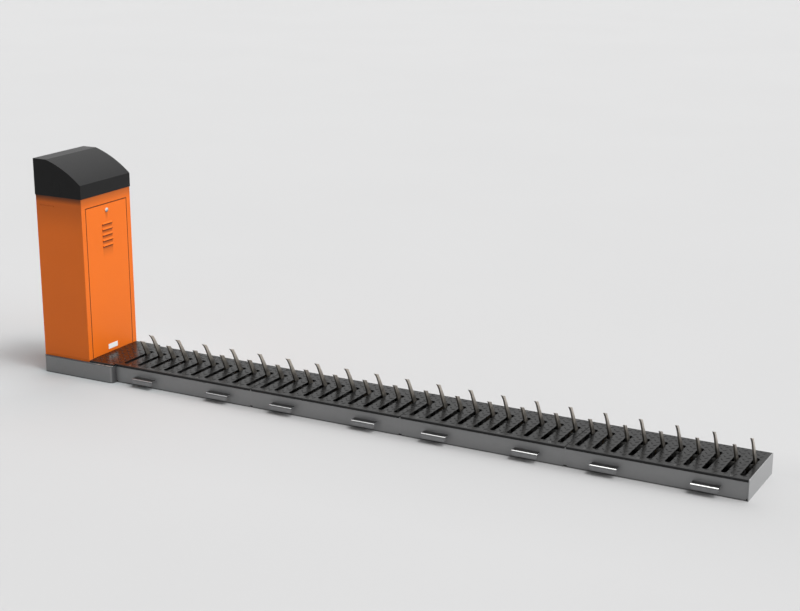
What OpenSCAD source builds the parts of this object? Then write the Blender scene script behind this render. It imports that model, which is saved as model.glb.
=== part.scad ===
// Tyre spike strip with hinged claws and a drive cabinet.
// Millimetres, Z up. X runs along the strip, Y across it.
// The origin is on the ground in the strip's middle plane, where its module pitch starts.

/* [Strip] */
// Length of one strip module
module_l = 1000; // [960:10:1060]
// Claws in one module, half of them tall
claws_per_module = 10; // [8:2:10]
// Width over the cover lips
strip_w = 434; // [426:2:460]
// Height of the cover top above the ground
strip_h = 118; // [115:1:126]
// Thickness of the chequer cover plate
cover_t = 4; // [3:0.5:5]
// Height of the turned-down cover lip
lip_h = 14.5; // [10:0.5:20]
// Thickness of the galvanised tray sheet
tray_t = 4; // [3:0.5:5]
// Width of a claw slot
slot_w = 30; // [24:1:34]

/* [Claws] */
// Rise of a tall claw tip above the cover
tall_rise = 164; // [140:2:168]
// Rise of a short claw tip above the cover
short_rise = 100; // [80:2:120]
// Thickness of a claw plate
claw_t = 10; // [8:1:12]
// Lean of the raised claws towards the approach side, in degrees
claw_lean = 28.4; // [24:0.2:32]
// Travel of the claws from raised to lowered, in degrees
swing = 58; // [57:1:62]
// Radius of the concave hook at a claw tip
hook_r = 140; // [120:5:180]

/* [Shaft] */
// Diameter of the claw shaft
shaft_d = 40; // [36:1:44]
// Height of the shaft axis above the ground
shaft_z = 63; // [61:0.5:66]
// Offset of the shaft behind the middle plane
shaft_y = 83; // [78:1:88]
// Radial running clearance in the bearings
run_clear = 0.05; // [0.02:0.01:0.09]

/* [Base and cabinet] */
// Length of the base behind the strip
base_back = 534; // [520:2:600]
// Width of the cabinet
cab_w = 476; // [470:2:490]
// Ledge of the base beside the cabinet
base_ledge = 16; // [14:1:32]
// Setback of the cabinet front behind the strip start
cab_front = 181.6; // [176:0.4:190]
// Height of the door's top edge above the ground
door_top = 1070; // [1000:5:1080]
// Frame between the door's edge and the cabinet's side
door_side = 40; // [36:1:48]
// Number of pressed louvres in the door
louvre_n = 5; // [3:1:6]

/* [Hood] */
// Height of the hood's lower edge above the ground
hood_low = 1136.5; // [1120:0.5:1150]
// Height of the fold at the hood's front
hood_fold = 1222.3; // [1210:0.5:1230]
// Height of the hood's flat top
hood_top = 1362.5; // [1340:0.5:1390]
// Radius of the hood's curved roof
hood_r = 700; // [500:10:1200]

/* [Drive] */
// Radius of the crank and of the lever
crank_r = 70; // [66:1:74]
// Height of the crank axis above the ground
crank_z = 430; // [400:5:460]

/* [Hidden] */
module_n = 4;
pitch = module_l / claws_per_module;
half_n = claws_per_module / 2;
rib_at = [pitch, (half_n - 1) * pitch, (half_n + 1) * pitch, module_l - pitch];
lip_gap = 0.3;
cover_gap = 1;
fit_gap = 0.1;
slide_fit = 0.02;
small = 0.01;
wall_out = strip_w / 2 - cover_t - lip_gap;
wall_in = wall_out - tray_t;
cover_low = strip_h - cover_t;
flange_low = cover_low - tray_t;
shaft_r = shaft_d / 2;

// Claw outline: a straight tapering blade on a hub, with a concave hook at the tip
hub_r = 30;
boss_r = 27;
boss_l = 36;
blade_root = 21;
blade_taper = 3.2;
hook_share = 0.29;
heel_slope = 19;
heel_r = 14;
tip_air = 5;

// Claw tip and the slot that it sweeps
tall_up = strip_h + tall_rise - shaft_z;
tip_out = claw_out(tall_rise, tall_up);
tip_reach = norm([tip_out, tall_up]);
slot_far = shaft_y - sqrt(pow(tip_reach, 2) - pow(cover_low - shaft_z, 2)) - tip_air;
slot_near = shaft_y + 19;
flange_in = slot_far;
screw_y = (wall_out - flange_in) / 2;

// Base and its cover
base_w = cab_w + 2 * base_ledge;
base_x0 = -base_back;
base_x1 = 6;
base_t = 4;
base_r = 25;
base_step = 10.6;
base_top_z = strip_h - base_step;
base_cover_x0 = -cab_front + lip_gap;

// Cabinet
cab_t = 2;
cab_x1 = -cab_front;
cab_x0 = -base_back + 2.4;
cab_top = 1208;
door_gap = 3.6;
open_low = strip_h + 0.6;
door_low = strip_h + 2.5;
door_t = 2;
door_return = 15;
frame_return = 22;
door_half = cab_w / 2 - door_side;
open_half = door_half + door_gap;
open_high = door_top + door_gap;
pivot_in = 10;
pivot_up = 26;
stud_r = 4;
stud_out = door_gap + 1.6;
pivot_x = cab_x1 - pivot_in;
pivot_z = door_low + pivot_up;
lock_z = door_top - 39.5;
louvre_w = 95;
louvre_h = 13;
louvre_out = 6;
louvre_pitch = 35;
louvre_drop = 128;
louvre_top = door_top - louvre_drop;

// Hood
hood_t = 3;
hood_gap = 0.2;
hood_half = cab_w / 2 + hood_gap + hood_t;
hood_x1 = cab_x1 + hood_gap + hood_t;
hood_x0 = cab_x0 - hood_gap - hood_t;
hood_flat = hood_x0 + 99;
plug_x = (cab_x0 + cab_x1) / 2;
plug_half = 25.5;
plug_h = 111.5;
plug_gap = 0.15;
plug_top = hood_low + plug_h;
plug_notch_z = 1186;
plug_notch_h = 5;
plug_notch_w = 3;

// Drive: crank, rod and lever lie in planes across the shaft
lever_x = -255;
lever_t = 12;
rod_x = -241;
rod_t = 12;
pin_r = 8;
eye_r = 16;
crank_rest = 180 - swing / 2;
pin_y = shaft_y + crank_r * cos(crank_rest);
pin_up = crank_r * sin(crank_rest);
gear_x0 = -350;
gear_x1 = -274;
motor_x = (gear_x0 + gear_x1) / 2;

// Screws, bolts and holes
screw_r = 4;
head_r = 8;
head_h = 4;
socket_r = 3;
socket_h = 2.4;
screw_l = 20;
bolt_r = 6;
bolt_head = 8;
bolt_y = 150;
bolt_z = [30, 85];
anchor_r = 7;
anchor_y = 150;
anchor_in = 150;

// Tray, ribs and frames
lip_notch = 4;
notch_w = 10;
notch_h = 12;
rib_t = 12;
frame_t = 8;
light_r = 34;
drain_r = 12;
end_t = 4;
bush_r = 26;
bush_flange = 4;
bush_rim = 4;
pass_r = 36;
sleeve_half = 28;
sleeve_r = 30;
sleeve_split = 1.5;
shaft_gap = 0.5;
shaft_end = 24;
centre_r = 4;
centre_h = 8;
lug_at = [0.23, 0.78];
lug_w = 150;
lug_out = 45;
lug_z = 58;
lug_drop = 30;
lug_t = 5;
lug_corner = 13;

// Base fittings
stiff_x = -196;
cab_rim = 38;
rear_win = [lever_x - 90, stiff_x - 16, shaft_y - 123, shaft_y + 77];
front_win = [base_cover_x0 + 21, base_x1 - 46, -cab_w / 2 + cab_rim, cab_w / 2 - cab_rim];
base_anchor_x = [base_x0 + 64, base_x1 - 66];
base_anchor_y = base_w / 2 - 54;
conduit_r = 32;
conduit_x = base_x0 + 94;
conduit_y = -120;
base_screw_x = [base_cover_x0 + 9, base_x1 - 28];
base_screw_y = cab_w / 2 - 16;
drive_x0 = -312;
block_x = [-80, -292];
block_t = 26;
block_w = 150;
block_foot = 14;
block_r = 34;

// Drive fittings
out_r = 14;
arm_t = 12;
boss_out = 10;
eye_wall = 2;
pin_head = 4;
gear_half = crank_r - 8;
gear_low = crank_r;
gear_up = crank_r - 10;
gear_flange = 8;
gear_nose = 6;
flange_hole_r = 3;
motor_r = gear_half + 2;
motor_l = 200;
motor_flange = 10;
motor_rim = 2;
fin_l = 9;
fin_t = 2.4;
fin_turn = 15;
term_half = 30;
term_out = 26;
term_z = [40, 110];
term_wall = 3;
cowl_h = 34;
cowl_t = 2;
cowl_over = 8;
grille_r = [18 : 10 : 48];
grille_w = 4;
spoke_half = 3;
bracket_half = gear_half + 28;
bracket_foot = 2 * gear_half - 4;
bracket_t = 10;
foot_t = 8;
gusset_t = 8;
gusset_in = 40;
gusset_toe = 60;
foot_hole_r = 5;
foot_hole_in = 30;

// Cabinet, lock and louvre fittings
rim_w = 24;
slot_rise = 20;
vent_r = 3.5;
vent_x = cab_x0 + 34.6;
vent_pitch = 25;
vent_n = 5;
vent_z = cab_top - 133;
hood_screw_x = [cab_x0 + 31.6, cab_x1 - 28.4];
hood_screw_y = cab_w / 2 - rim_w / 2;
hood_screw_r = 3;
hood_screw_l = 12;
label_w = 91;
label_h = 32;
label_z = 139;
label_t = 0.8;
label_hole_r = 1.6;
label_hole_in = 5;
lock_r = 9.5;
lock_flange = 4;
lock_flange_r = 13.5;
lock_back = cab_x1 - frame_return;
lock_nut = 5;
plug_r = 6;
key_half = 1;
key_up = 4.5;
key_deep = 8;
cam_l = 44;
cam_t = 3;
cam_r = [12, 9];
cam_square = 4;
louvre_t = 1.2;
box_p = [cab_x0 + cab_t, -cab_w / 2 + cab_rim, 620];
box_s = [110, 180, 260];
box_t = 3;
lid_t = 12;
lid_rise = 2;
gland_n = 3;
gland_r = 10;
gland_nut = 8;
gland_cap = 22;
gland_in = 12;

// Start and end of the tray of module m, counted from 0
function mod_x0(m) = m == 0 ? base_x1 : m * module_l;
function mod_x1(m) = (m + 1) * module_l - (m == module_n - 1 ? end_t : 0);

// Unit vector at an angle
function toward(a) = [cos(a), sin(a)];

// Start of the hook on the front edge, in vertical height over the shaft axis
function hook_up(rise, up) = up - rise * hook_share;

// Outward distance of the straight front edge at a vertical height over the shaft axis
function edge_out(up) = blade_root / cos(claw_lean - blade_taper) * cos(blade_taper)
    + up * tan(claw_lean - blade_taper);

// Centre of the hook circle, as outward distance and height over the shaft axis
function hook_c(rise, up) = [edge_out(hook_up(rise, up)) + hook_r * cos(claw_lean - blade_taper),
    hook_up(rise, up) - hook_r * sin(claw_lean - blade_taper)];

// Outward distance of the claw tip
function claw_out(rise, up) = hook_c(rise, up)[0]
    - sqrt(pow(hook_r, 2) - pow(up - hook_c(rise, up)[1], 2));

module block(x0, x1, y0, y1, z0, z1) {
    translate([x0, y0, z0])
        cube([x1 - x0, y1 - y0, z1 - z0]);
}

module bar_x(x0, x1, r, y, z) {
    translate([x0, y, z])
        rotate([0, 90, 0])
            cylinder(r = r, h = x1 - x0, $fn = 64);
}

module bar_y(y0, y1, r, x, z) {
    translate([x, y0, z])
        rotate([-90, 0, 0])
            cylinder(r = r, h = y1 - y0, $fn = 64);
}

module bar_z(z0, z1, r, x, y) {
    translate([x, y, z0])
        cylinder(r = r, h = z1 - z0, $fn = 64);
}

// Outline given in Y and Z, made solid from x over a length
module across(x, length) {
    translate([x, 0, 0])
        rotate([90, 0, 90])
            linear_extrude(length)
                children();
}

// Outline given in X and Z, made solid from y0 to y1
module sideways(y0, y1) {
    translate([0, y1, 0])
        rotate([90, 0, 0])
            linear_extrude(y1 - y0)
                children();
}

// Rectangle with round corners
module round_rect(x0, x1, y0, y1, r) {
    translate([x0 + r, y0])
        square([x1 - x0 - 2 * r, y1 - y0]);
    translate([x0, y0 + r])
        square([x1 - x0, y1 - y0 - 2 * r]);
    for (x = [x0 + r, x1 - r], y = [y0 + r, y1 - r])
        translate([x, y])
            circle(r = r, $fn = 48);
}

// Outline of one raised claw in Y and Z, cut to its rise above the cover
module claw_outline(rise) {
    up = strip_h + rise - shaft_z;
    out = claw_out(rise, up);
    start = hook_up(rise, up);
    back_root = -blade_root / cos(claw_lean + blade_taper) * cos(blade_taper);
    back_k = tan(claw_lean + blade_taper);
    cut_k = tan(heel_slope);
    heel_up = (up - cut_k * (out - back_root)) / (1 - cut_k * back_k);
    heel = [back_root + heel_up * back_k, heel_up];
    half = (90 + claw_lean + blade_taper + heel_slope) / 2;
    reach = heel_r / tan(half);
    translate([shaft_y, shaft_z])
        mirror([1, 0])
            difference() {
                union() {
                    circle(r = hub_r, $fn = 64);
                    translate(heel + heel_r / sin(half) * toward(heel_slope - half))
                        circle(r = heel_r, $fn = 48);
                    polygon([[back_root, 0], [edge_out(0), 0], [edge_out(start), start], [out, up],
                        heel + reach * toward(heel_slope), heel + reach * toward(heel_slope - 2 * half)]);
                }
                translate(hook_c(rise, up))
                    circle(r = hook_r, $fn = 180);
                circle(r = shaft_r + slide_fit, $fn = 64);
            }
}

module claw(x, rise) {
    across(x - claw_t / 2, claw_t)
        claw_outline(rise);
    for (side = [-1, 1])
        difference() {
            bar_x(x + side * (claw_t / 2 + boss_l / 2) / 2 - (boss_l - claw_t) / 4,
                x + side * (claw_t / 2 + boss_l / 2) / 2 + (boss_l - claw_t) / 4,
                boss_r, shaft_y, shaft_z);
            bar_x(x - boss_l, x + boss_l, shaft_r + slide_fit, shaft_y, shaft_z);
        }
}

// Claws of module m: rest is 0 for the short ones and 1 for the tall ones
module claw_set(m, rest, rise) {
    color([0.62, 0.6, 0.56])
        for (i = [rest : 2 : claws_per_module - 1])
            claw(m * module_l + (i + 0.5) * pitch, rise);
}

module claws_short_1() { claw_set(0, 0, short_rise); }
module claws_short_2() { claw_set(1, 0, short_rise); }
module claws_short_3() { claw_set(2, 0, short_rise); }
module claws_short_4() { claw_set(3, 0, short_rise); }
module claws_tall_1() { claw_set(0, 1, tall_rise); }
module claws_tall_2() { claw_set(1, 1, tall_rise); }
module claws_tall_3() { claw_set(2, 1, tall_rise); }
module claws_tall_4() { claw_set(3, 1, tall_rise); }

// Cross-section of a cover in Y and Z: plate and two lips with round outer bends
module cover_section(half, top, low, t) {
    bend = t + 1;
    difference() {
        union() {
            translate([-half + bend, top - t])
                square([2 * (half - bend), t]);
            for (side = [-1, 1]) {
                translate([side * (half - bend), top - bend])
                    circle(r = bend, $fn = 48);
                translate([side * (half - t / 2) - t / 2, low])
                    square([t, top - bend - low]);
            }
        }
        translate([-half + t, low - 1])
            square([2 * (half - t), top - t - low + 1]);
    }
}

// Round-ended slot for the claw at x
module claw_slot(x) {
    r = slot_w / 2;
    translate([x, 0, cover_low - 1])
        linear_extrude(cover_t + 2) {
            translate([-r, slot_far + r])
                square([slot_w, slot_near - slot_far - slot_w]);
            for (y = [slot_far + r, slot_near - r])
                translate([0, y])
                    circle(r = r, $fn = 48);
        }
}

// Countersunk hole for a cover screw whose head ends at z
module sink(x, y, z, drop) {
    translate([x, y, z - drop])
        cylinder(r = screw_r + fit_gap, h = drop + 1, $fn = 48);
    translate([x, y, z - head_h])
        cylinder(r1 = screw_r, r2 = head_r, h = head_h, $fn = 48);
    translate([x, y, z])
        cylinder(r = head_r, h = 1, $fn = 48);
}

// Countersunk screw with a hexagonal socket
module sunk_screw(x, y, z, length) {
    difference() {
        union() {
            translate([x, y, z - length])
                cylinder(r = screw_r, h = length - head_h + small, $fn = 48);
            translate([x, y, z - head_h])
                cylinder(r1 = screw_r, r2 = head_r, h = head_h, $fn = 48);
        }
        translate([x, y, z - socket_h])
            cylinder(r = socket_r, h = socket_h + 1, $fn = 6);
    }
}

module cover(m) {
    x0 = mod_x0(m) + cover_gap;
    last = m == module_n - 1;
    x1 = mod_x1(m) - (last ? lip_gap : cover_gap);
    half = strip_w / 2;
    low = strip_h - lip_h;
    color([0.2, 0.2, 0.2])
        difference() {
            across(x0, x1 - x0)
                cover_section(half, strip_h, low, cover_t);
            for (side = [-1, 1]) {
                block(x0 - 1, x0 + lip_notch, side * half - cover_t - 1, side * half + cover_t + 1,
                    low - 1, cover_low - 1);
                if (!last)
                    block(x1 - lip_notch, x1 + 1, side * half - cover_t - 1, side * half + cover_t + 1,
                        low - 1, cover_low - 1);
            }
            for (i = [0 : claws_per_module - 1])
                claw_slot(m * module_l + (i + 0.5) * pitch);
            for (dx = rib_at, side = [-1, 1])
                sink(m * module_l + dx, side * screw_y, strip_h, cover_t + 2);
        }
}

module cover_1() { cover(0); }
module cover_2() { cover(1); }
module cover_3() { cover(2); }
module cover_4() { cover(3); }

// Tray of module m: bent channel with inward top flanges, drained at its lower corners
module tray(m) {
    x0 = mod_x0(m);
    x1 = mod_x1(m);
    color([0.55, 0.56, 0.57])
        difference() {
            block(x0, x1, -wall_out, wall_out, 0, cover_low);
            block(x0 - 1, x1 + 1, -wall_in, wall_in, tray_t, flange_low);
            block(x0 - 1, x1 + 1, flange_in, -flange_in, flange_low - 1, cover_low + 1);
            for (x = [x0, x1], side = [-1, 1])
                block(x - notch_w, x + notch_w, side * wall_out - tray_t - 1, side * wall_out + tray_t + 1,
                    -1, notch_h);
            for (dx = rib_at, side = [-1, 1])
                bar_z(flange_low - 1, cover_low + 1, screw_r + fit_gap, m * module_l + dx, side * screw_y);
            for (dx = [anchor_in, module_l - anchor_in], y = [-anchor_y, anchor_y])
                bar_z(-1, tray_t + 1, anchor_r, m * module_l + dx, y);
        }
}

module tray_1() { tray(0); }
module tray_2() { tray(1); }
module tray_3() { tray(2); }
module tray_4() { tray(3); }

// Support rib at x, carrying the cover and a shaft bushing
module rib(x) {
    difference() {
        union() {
            block(x - rib_t / 2, x + rib_t / 2, -wall_in, wall_in, tray_t, flange_low);
            block(x - rib_t / 2, x + rib_t / 2, flange_in + 1, -flange_in - 1, flange_low - small,
                cover_low);
        }
        bar_x(x - rib_t, x + rib_t, bush_r + slide_fit, shaft_y, shaft_z);
        bar_x(x - rib_t, x + rib_t, light_r, -light_r / 2, shaft_z);
        bar_x(x - rib_t, x + rib_t, light_r, -3 * light_r, shaft_z);
        for (y = [-wall_in + drain_r * 2, 0, wall_in - drain_r * 2])
            bar_x(x - rib_t, x + rib_t, drain_r, y, tray_t);
        for (side = [-1, 1])
            bar_z(flange_low - screw_l, flange_low + 1, screw_r + slide_fit, x, side * screw_y);
    }
}

// Bolted frame at a module's end, from x over its thickness
module end_frame(x) {
    difference() {
        block(x, x + frame_t, -wall_in, wall_in, tray_t, flange_low);
        bar_x(x - 1, x + frame_t + 1, pass_r, shaft_y, shaft_z);
        bar_x(x - 1, x + frame_t + 1, light_r, -light_r, shaft_z);
        for (y = [-bolt_y, bolt_y], z = bolt_z)
            bar_x(x - 1, x + frame_t + 1, bolt_r + fit_gap, y, z);
        for (side = [-1, 1])
            bar_x(x - 1, x + frame_t + 1, drain_r, side * (wall_in - drain_r * 2), tray_t);
    }
}

module rib_set(m) {
    color([0.5, 0.51, 0.52]) {
        for (dx = rib_at)
            rib(m * module_l + dx);
        end_frame(mod_x0(m));
        if (m < module_n - 1)
            end_frame(mod_x1(m) - frame_t);
    }
}

module ribs_1() { rib_set(0); }
module ribs_2() { rib_set(1); }
module ribs_3() { rib_set(2); }
module ribs_4() { rib_set(3); }

// Plate that closes the free end of the last tray, as wide and as high as the cover
module end_plate() {
    x0 = mod_x1(module_n - 1);
    color([0.72, 0.73, 0.74])
        block(x0, x0 + end_t, -strip_w / 2, strip_w / 2, 0, strip_h);
}

module shaft_piece(x0, x1) {
    color([0.45, 0.45, 0.46])
        difference() {
            bar_x(x0, x1, shaft_r, shaft_y, shaft_z);
            bar_x(x0 - 1, x0 + centre_h, centre_r, shaft_y, shaft_z);
            bar_x(x1 - centre_h, x1 + 1, centre_r, shaft_y, shaft_z);
        }
}

module shaft_1() { shaft_piece(shaft_gap, module_l - shaft_gap); }
module shaft_2() { shaft_piece(module_l + shaft_gap, 2 * module_l - shaft_gap); }
module shaft_3() { shaft_piece(2 * module_l + shaft_gap, 3 * module_l - shaft_gap); }
module shaft_4() { shaft_piece(3 * module_l + shaft_gap, 4 * module_l - shaft_end); }
module drive_shaft() { shaft_piece(drive_x0, -shaft_gap); }

// Flanged bushings pressed into the ribs
module shaft_bushings() {
    color([0.72, 0.52, 0.26])
        for (m = [0 : module_n - 1], dx = rib_at)
            difference() {
                union() {
                    bar_x(m * module_l + dx - rib_t / 2, m * module_l + dx + rib_t / 2 + bush_flange,
                        bush_r, shaft_y, shaft_z);
                    bar_x(m * module_l + dx + rib_t / 2, m * module_l + dx + rib_t / 2 + bush_flange,
                        bush_r + bush_rim, shaft_y, shaft_z);
                }
                bar_x(m * module_l + dx - rib_t, m * module_l + dx + 2 * rib_t, shaft_r + run_clear,
                    shaft_y, shaft_z);
            }
}

// Clamped sleeves that join the shafts, each with two clamp screws
module couplings() {
    color([0.3, 0.3, 0.31])
        for (i = [0 : module_n - 1])
            difference() {
                bar_x(i * module_l - sleeve_half, i * module_l + sleeve_half, sleeve_r, shaft_y, shaft_z);
                bar_x(i * module_l - sleeve_half - 1, i * module_l + sleeve_half + 1, shaft_r + slide_fit,
                    shaft_y, shaft_z);
                block(i * module_l - sleeve_half - 1, i * module_l + sleeve_half + 1, shaft_y + shaft_r,
                    shaft_y + sleeve_r + 1, shaft_z - sleeve_split, shaft_z + sleeve_split);
            }
}

// Countersunk screws of the strip covers and of the cover beside the cabinet
module cover_screws() {
    color([0.5, 0.5, 0.5]) {
        for (m = [0 : module_n - 1], dx = rib_at, side = [-1, 1])
            sunk_screw(m * module_l + dx, side * screw_y, strip_h, cover_t + tray_t + screw_l - 4);
        for (x = base_screw_x, side = [-1, 1])
            sunk_screw(x, side * base_screw_y, strip_h, base_step + base_t + 6);
    }
}

// Hexagonal bolts with nuts that join the end frames, and those that hold the pillow blocks
module frame_bolts() {
    color([0.6, 0.61, 0.62]) {
        for (i = [0 : module_n - 1], y = [-bolt_y, bolt_y], z = bolt_z) {
            x0 = i == 0 ? base_x1 - base_t : i * module_l - frame_t;
            x1 = mod_x0(i) + frame_t;
            translate([x0 - bolt_head, y, z])
                rotate([0, 90, 0])
                    cylinder(r = bolt_r * 1.8, h = bolt_head, $fn = 6);
            bar_x(x0 - small, x1 + bolt_head + 4, bolt_r, y, z);
            translate([x1, y, z])
                rotate([0, 90, 0])
                    cylinder(r = bolt_r * 1.8, h = bolt_head, $fn = 6);
        }
        for (x = block_x, side = [-1, 1]) {
            y = shaft_y + side * (block_w / 2 - 2 * bolt_r);
            bar_z(base_t, base_t + block_foot + small, bolt_r, x, y);
            translate([x, y, base_t + block_foot])
                cylinder(r = bolt_r * 1.8, h = bolt_head, $fn = 6);
        }
    }
}

// Cross-section of an anchor lug on the far side, in Y and Z
module lug_section() {
    outer = wall_out + lug_out;
    bend = 2 * lug_t;
    translate([wall_out, lug_z - lug_t])
        square([lug_out - bend, lug_t]);
    translate([outer - lug_t, lug_z - lug_drop])
        square([lug_t, lug_drop - bend]);
    intersection() {
        translate([outer - bend, lug_z - bend])
            square(bend);
        difference() {
            translate([outer - bend, lug_z - bend])
                circle(r = bend, $fn = 48);
            translate([outer - bend, lug_z - bend])
                circle(r = bend - lug_t, $fn = 48);
        }
    }
}

// Lug at x with the lower corners of its leg cut round
module lug(x) {
    outer = wall_out + lug_out;
    intersection() {
        across(x - lug_w / 2, lug_w)
            lug_section();
        sideways(wall_out - 1, outer + 1)
            round_rect(x - lug_w / 2, x + lug_w / 2, lug_z - lug_drop, lug_z + 2 * lug_corner, lug_corner);
    }
}

module lugs_back() {
    color([0.6, 0.61, 0.62])
        for (m = [0 : module_n - 1], at = lug_at)
            lug((m + at) * module_l);
}

module lugs_front() {
    color([0.6, 0.61, 0.62])
        mirror([0, 1, 0])
            for (m = [0 : module_n - 1], at = lug_at)
                lug((m + at) * module_l);
}

// Outline of the base in plan, drawn in by a distance
module base_outline(t) {
    round_rect(base_x0 + t, base_x1 - t, -base_w / 2 + t, base_w / 2 - t, base_r - t);
}

// Floor of the base, with anchor holes and the conduit's inlet
module base_floor() {
    color([0.55, 0.56, 0.57])
        difference() {
            linear_extrude(base_t)
                base_outline(0);
            for (x = base_anchor_x, y = [-base_anchor_y, base_anchor_y])
                bar_z(-1, base_t + 1, anchor_r, x, y);
            bar_z(-1, base_t + 1, conduit_r, conduit_x, conduit_y);
        }
}

// Walls of the base with round corners, and a cross wall in two halves beside the shaft
module base_walls() {
    high = base_top_z - base_t;
    color([0.58, 0.59, 0.6])
        difference() {
            union() {
                difference() {
                    translate([0, 0, base_t])
                        linear_extrude(high - base_t)
                            base_outline(0);
                    translate([0, 0, base_t - 1])
                        linear_extrude(high)
                            base_outline(base_t);
                }
                for (side = [-1, 1]) {
                    y0 = side < 0 ? -base_w / 2 + base_t - small : shaft_y + 2 * sleeve_r;
                    y1 = side < 0 ? shaft_y - 2 * sleeve_r : base_w / 2 - base_t + small;
                    block(stiff_x - base_t, stiff_x, y0, y1, base_t, high);
                }
            }
            bar_x(base_x1 - base_t - 1, base_x1 + 1, pass_r, shaft_y, shaft_z);
            for (y = [-bolt_y, bolt_y], z = bolt_z)
                bar_x(base_x1 - base_t - 1, base_x1 + 1, bolt_r + fit_gap, y, z);
        }
}

// Top plate of the base, open where the drive passes and under the chequer cover
module base_top() {
    low = base_top_z - base_t;
    color([0.6, 0.61, 0.62])
        difference() {
            translate([0, 0, low])
                linear_extrude(base_t)
                    base_outline(0);
            block(rear_win[0], rear_win[1], rear_win[2], rear_win[3], low - 1, base_top_z + 1);
            block(front_win[0], front_win[1], front_win[2], front_win[3], low - 1, base_top_z + 1);
            bar_z(low - 1, base_top_z + 1, conduit_r, conduit_x, conduit_y);
            for (x = base_screw_x, side = [-1, 1])
                bar_z(low - 1, base_top_z + 1, screw_r + fit_gap, x, side * base_screw_y);
        }
}

// Chequer cover between the cabinet and the strip
module base_cover() {
    half = cab_w / 2;
    color([0.2, 0.2, 0.2])
        difference() {
            union() {
                across(base_cover_x0, base_x1 - base_cover_x0)
                    cover_section(half, strip_h, base_top_z, cover_t);
                block(base_x1 - cover_t, base_x1, -half + cover_t, half - cover_t, base_top_z,
                    cover_low + small);
                for (y = [-half / 3, half / 3])
                    block(base_cover_x0, base_x1 - cover_t, y - tray_t / 2, y + tray_t / 2, base_top_z,
                        cover_low + small);
            }
            for (x = base_screw_x, side = [-1, 1])
                sink(x, side * base_screw_y, strip_h, cover_t + 2);
        }
}

// Two pillow blocks that carry the drive shaft in the base
module base_bearings() {
    color([0.2, 0.22, 0.24])
        for (x = block_x)
            difference() {
                union() {
                    block(x - block_t / 2, x + block_t / 2, shaft_y - block_w / 2, shaft_y + block_w / 2,
                        base_t, base_t + block_foot);
                    block(x - block_t / 2, x + block_t / 2, shaft_y - block_r, shaft_y + block_r,
                        base_t, shaft_z);
                    bar_x(x - block_t / 2, x + block_t / 2, block_r, shaft_y, shaft_z);
                }
                bar_x(x - block_t, x + block_t, shaft_r + run_clear, shaft_y, shaft_z);
                for (side = [-1, 1])
                    bar_z(base_t - 1, base_t + block_foot + 1, bolt_r + fit_gap, x,
                        shaft_y + side * (block_w / 2 - 2 * bolt_r));
            }
}

// Flat bar with two round ends in Y and Z, from one axis to another
module link_outline(y0, z0, r0, y1, z1, r1) {
    a = atan2(z1 - z0, y1 - y0);
    half = min(r0, r1) * 0.8;
    translate([y0, z0])
        circle(r = r0, $fn = 48);
    translate([y1, z1])
        circle(r = r1, $fn = 48);
    translate([y0, z0])
        rotate(a)
            translate([0, -half])
                square([norm([y1 - y0, z1 - z0]), 2 * half]);
}

// Headed pin in the end of the lever or of the crank, at height z
module link_pin(z) {
    color([0.7, 0.7, 0.71]) {
        bar_x(lever_x, rod_x + rod_t + 1, pin_r, pin_y, z);
        bar_x(rod_x + rod_t + 0.5, rod_x + rod_t + 0.5 + pin_head, pin_r + pin_head, pin_y, z);
    }
}

// Arm with a boss on a shaft of radius r at height z, and its pin
module drive_arm(z, r) {
    color([0.35, 0.36, 0.37])
        difference() {
            union() {
                across(lever_x, lever_t)
                    link_outline(shaft_y, z, r + arm_t, pin_y, z + pin_up, eye_r);
                bar_x(lever_x - boss_out, lever_x + lever_t, r + arm_t - eye_wall, shaft_y, z);
            }
            bar_x(lever_x - boss_out - 1, lever_x + lever_t + 1, r + slide_fit, shaft_y, z);
            bar_x(lever_x - 1, lever_x + lever_t + 1, pin_r + slide_fit, pin_y, z + pin_up);
        }
    link_pin(z + pin_up);
}

module lever() { drive_arm(shaft_z, shaft_r); }
module crank() { drive_arm(crank_z, out_r); }

module rod() {
    color([0.5, 0.51, 0.52])
        difference() {
            across(rod_x, rod_t)
                link_outline(pin_y, shaft_z + pin_up, eye_r + eye_wall, pin_y, crank_z + pin_up,
                    eye_r + eye_wall);
            for (z = [shaft_z, crank_z])
                bar_x(rod_x - 1, rod_x + rod_t + 1, pin_r + run_clear, pin_y, z + pin_up);
        }
}

module output_shaft() {
    color([0.7, 0.7, 0.71])
        bar_x(gear_x0 + gear_flange + 2, lever_x + lever_t + 2, out_r, shaft_y, crank_z);
}

// Bolt holes of the gearbox flange
module flange_holes(x0, x1) {
    for (a = [45 : 90 : 315])
        bar_x(x0, x1, flange_hole_r, shaft_y + gear_half * cos(a), crank_z + gear_half * sin(a));
}

// Worm gearbox with a bolted side flange, open on the crank's side for its shaft
module gearbox() {
    color([0.3, 0.33, 0.36])
        difference() {
            union() {
                block(gear_x0 + gear_flange, gear_x1, shaft_y - gear_half, shaft_y + gear_half,
                    crank_z - gear_low, crank_z + gear_up);
                bar_x(gear_x0, gear_x0 + gear_flange + small, gear_half + 2 * flange_hole_r, shaft_y,
                    crank_z);
                bar_x(gear_x1 - small, gear_x1 + gear_nose, gear_half - 10, shaft_y, crank_z);
                bar_z(crank_z + gear_up - small, crank_z + gear_up + motor_flange, motor_r + motor_rim,
                    motor_x, shaft_y);
            }
            bar_x(gear_x0 + gear_flange, gear_x1 + gear_nose + 1, out_r + run_clear, shaft_y, crank_z);
            flange_holes(gear_x0 - 1, gear_x0 + gear_flange + 1);
        }
}

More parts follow.
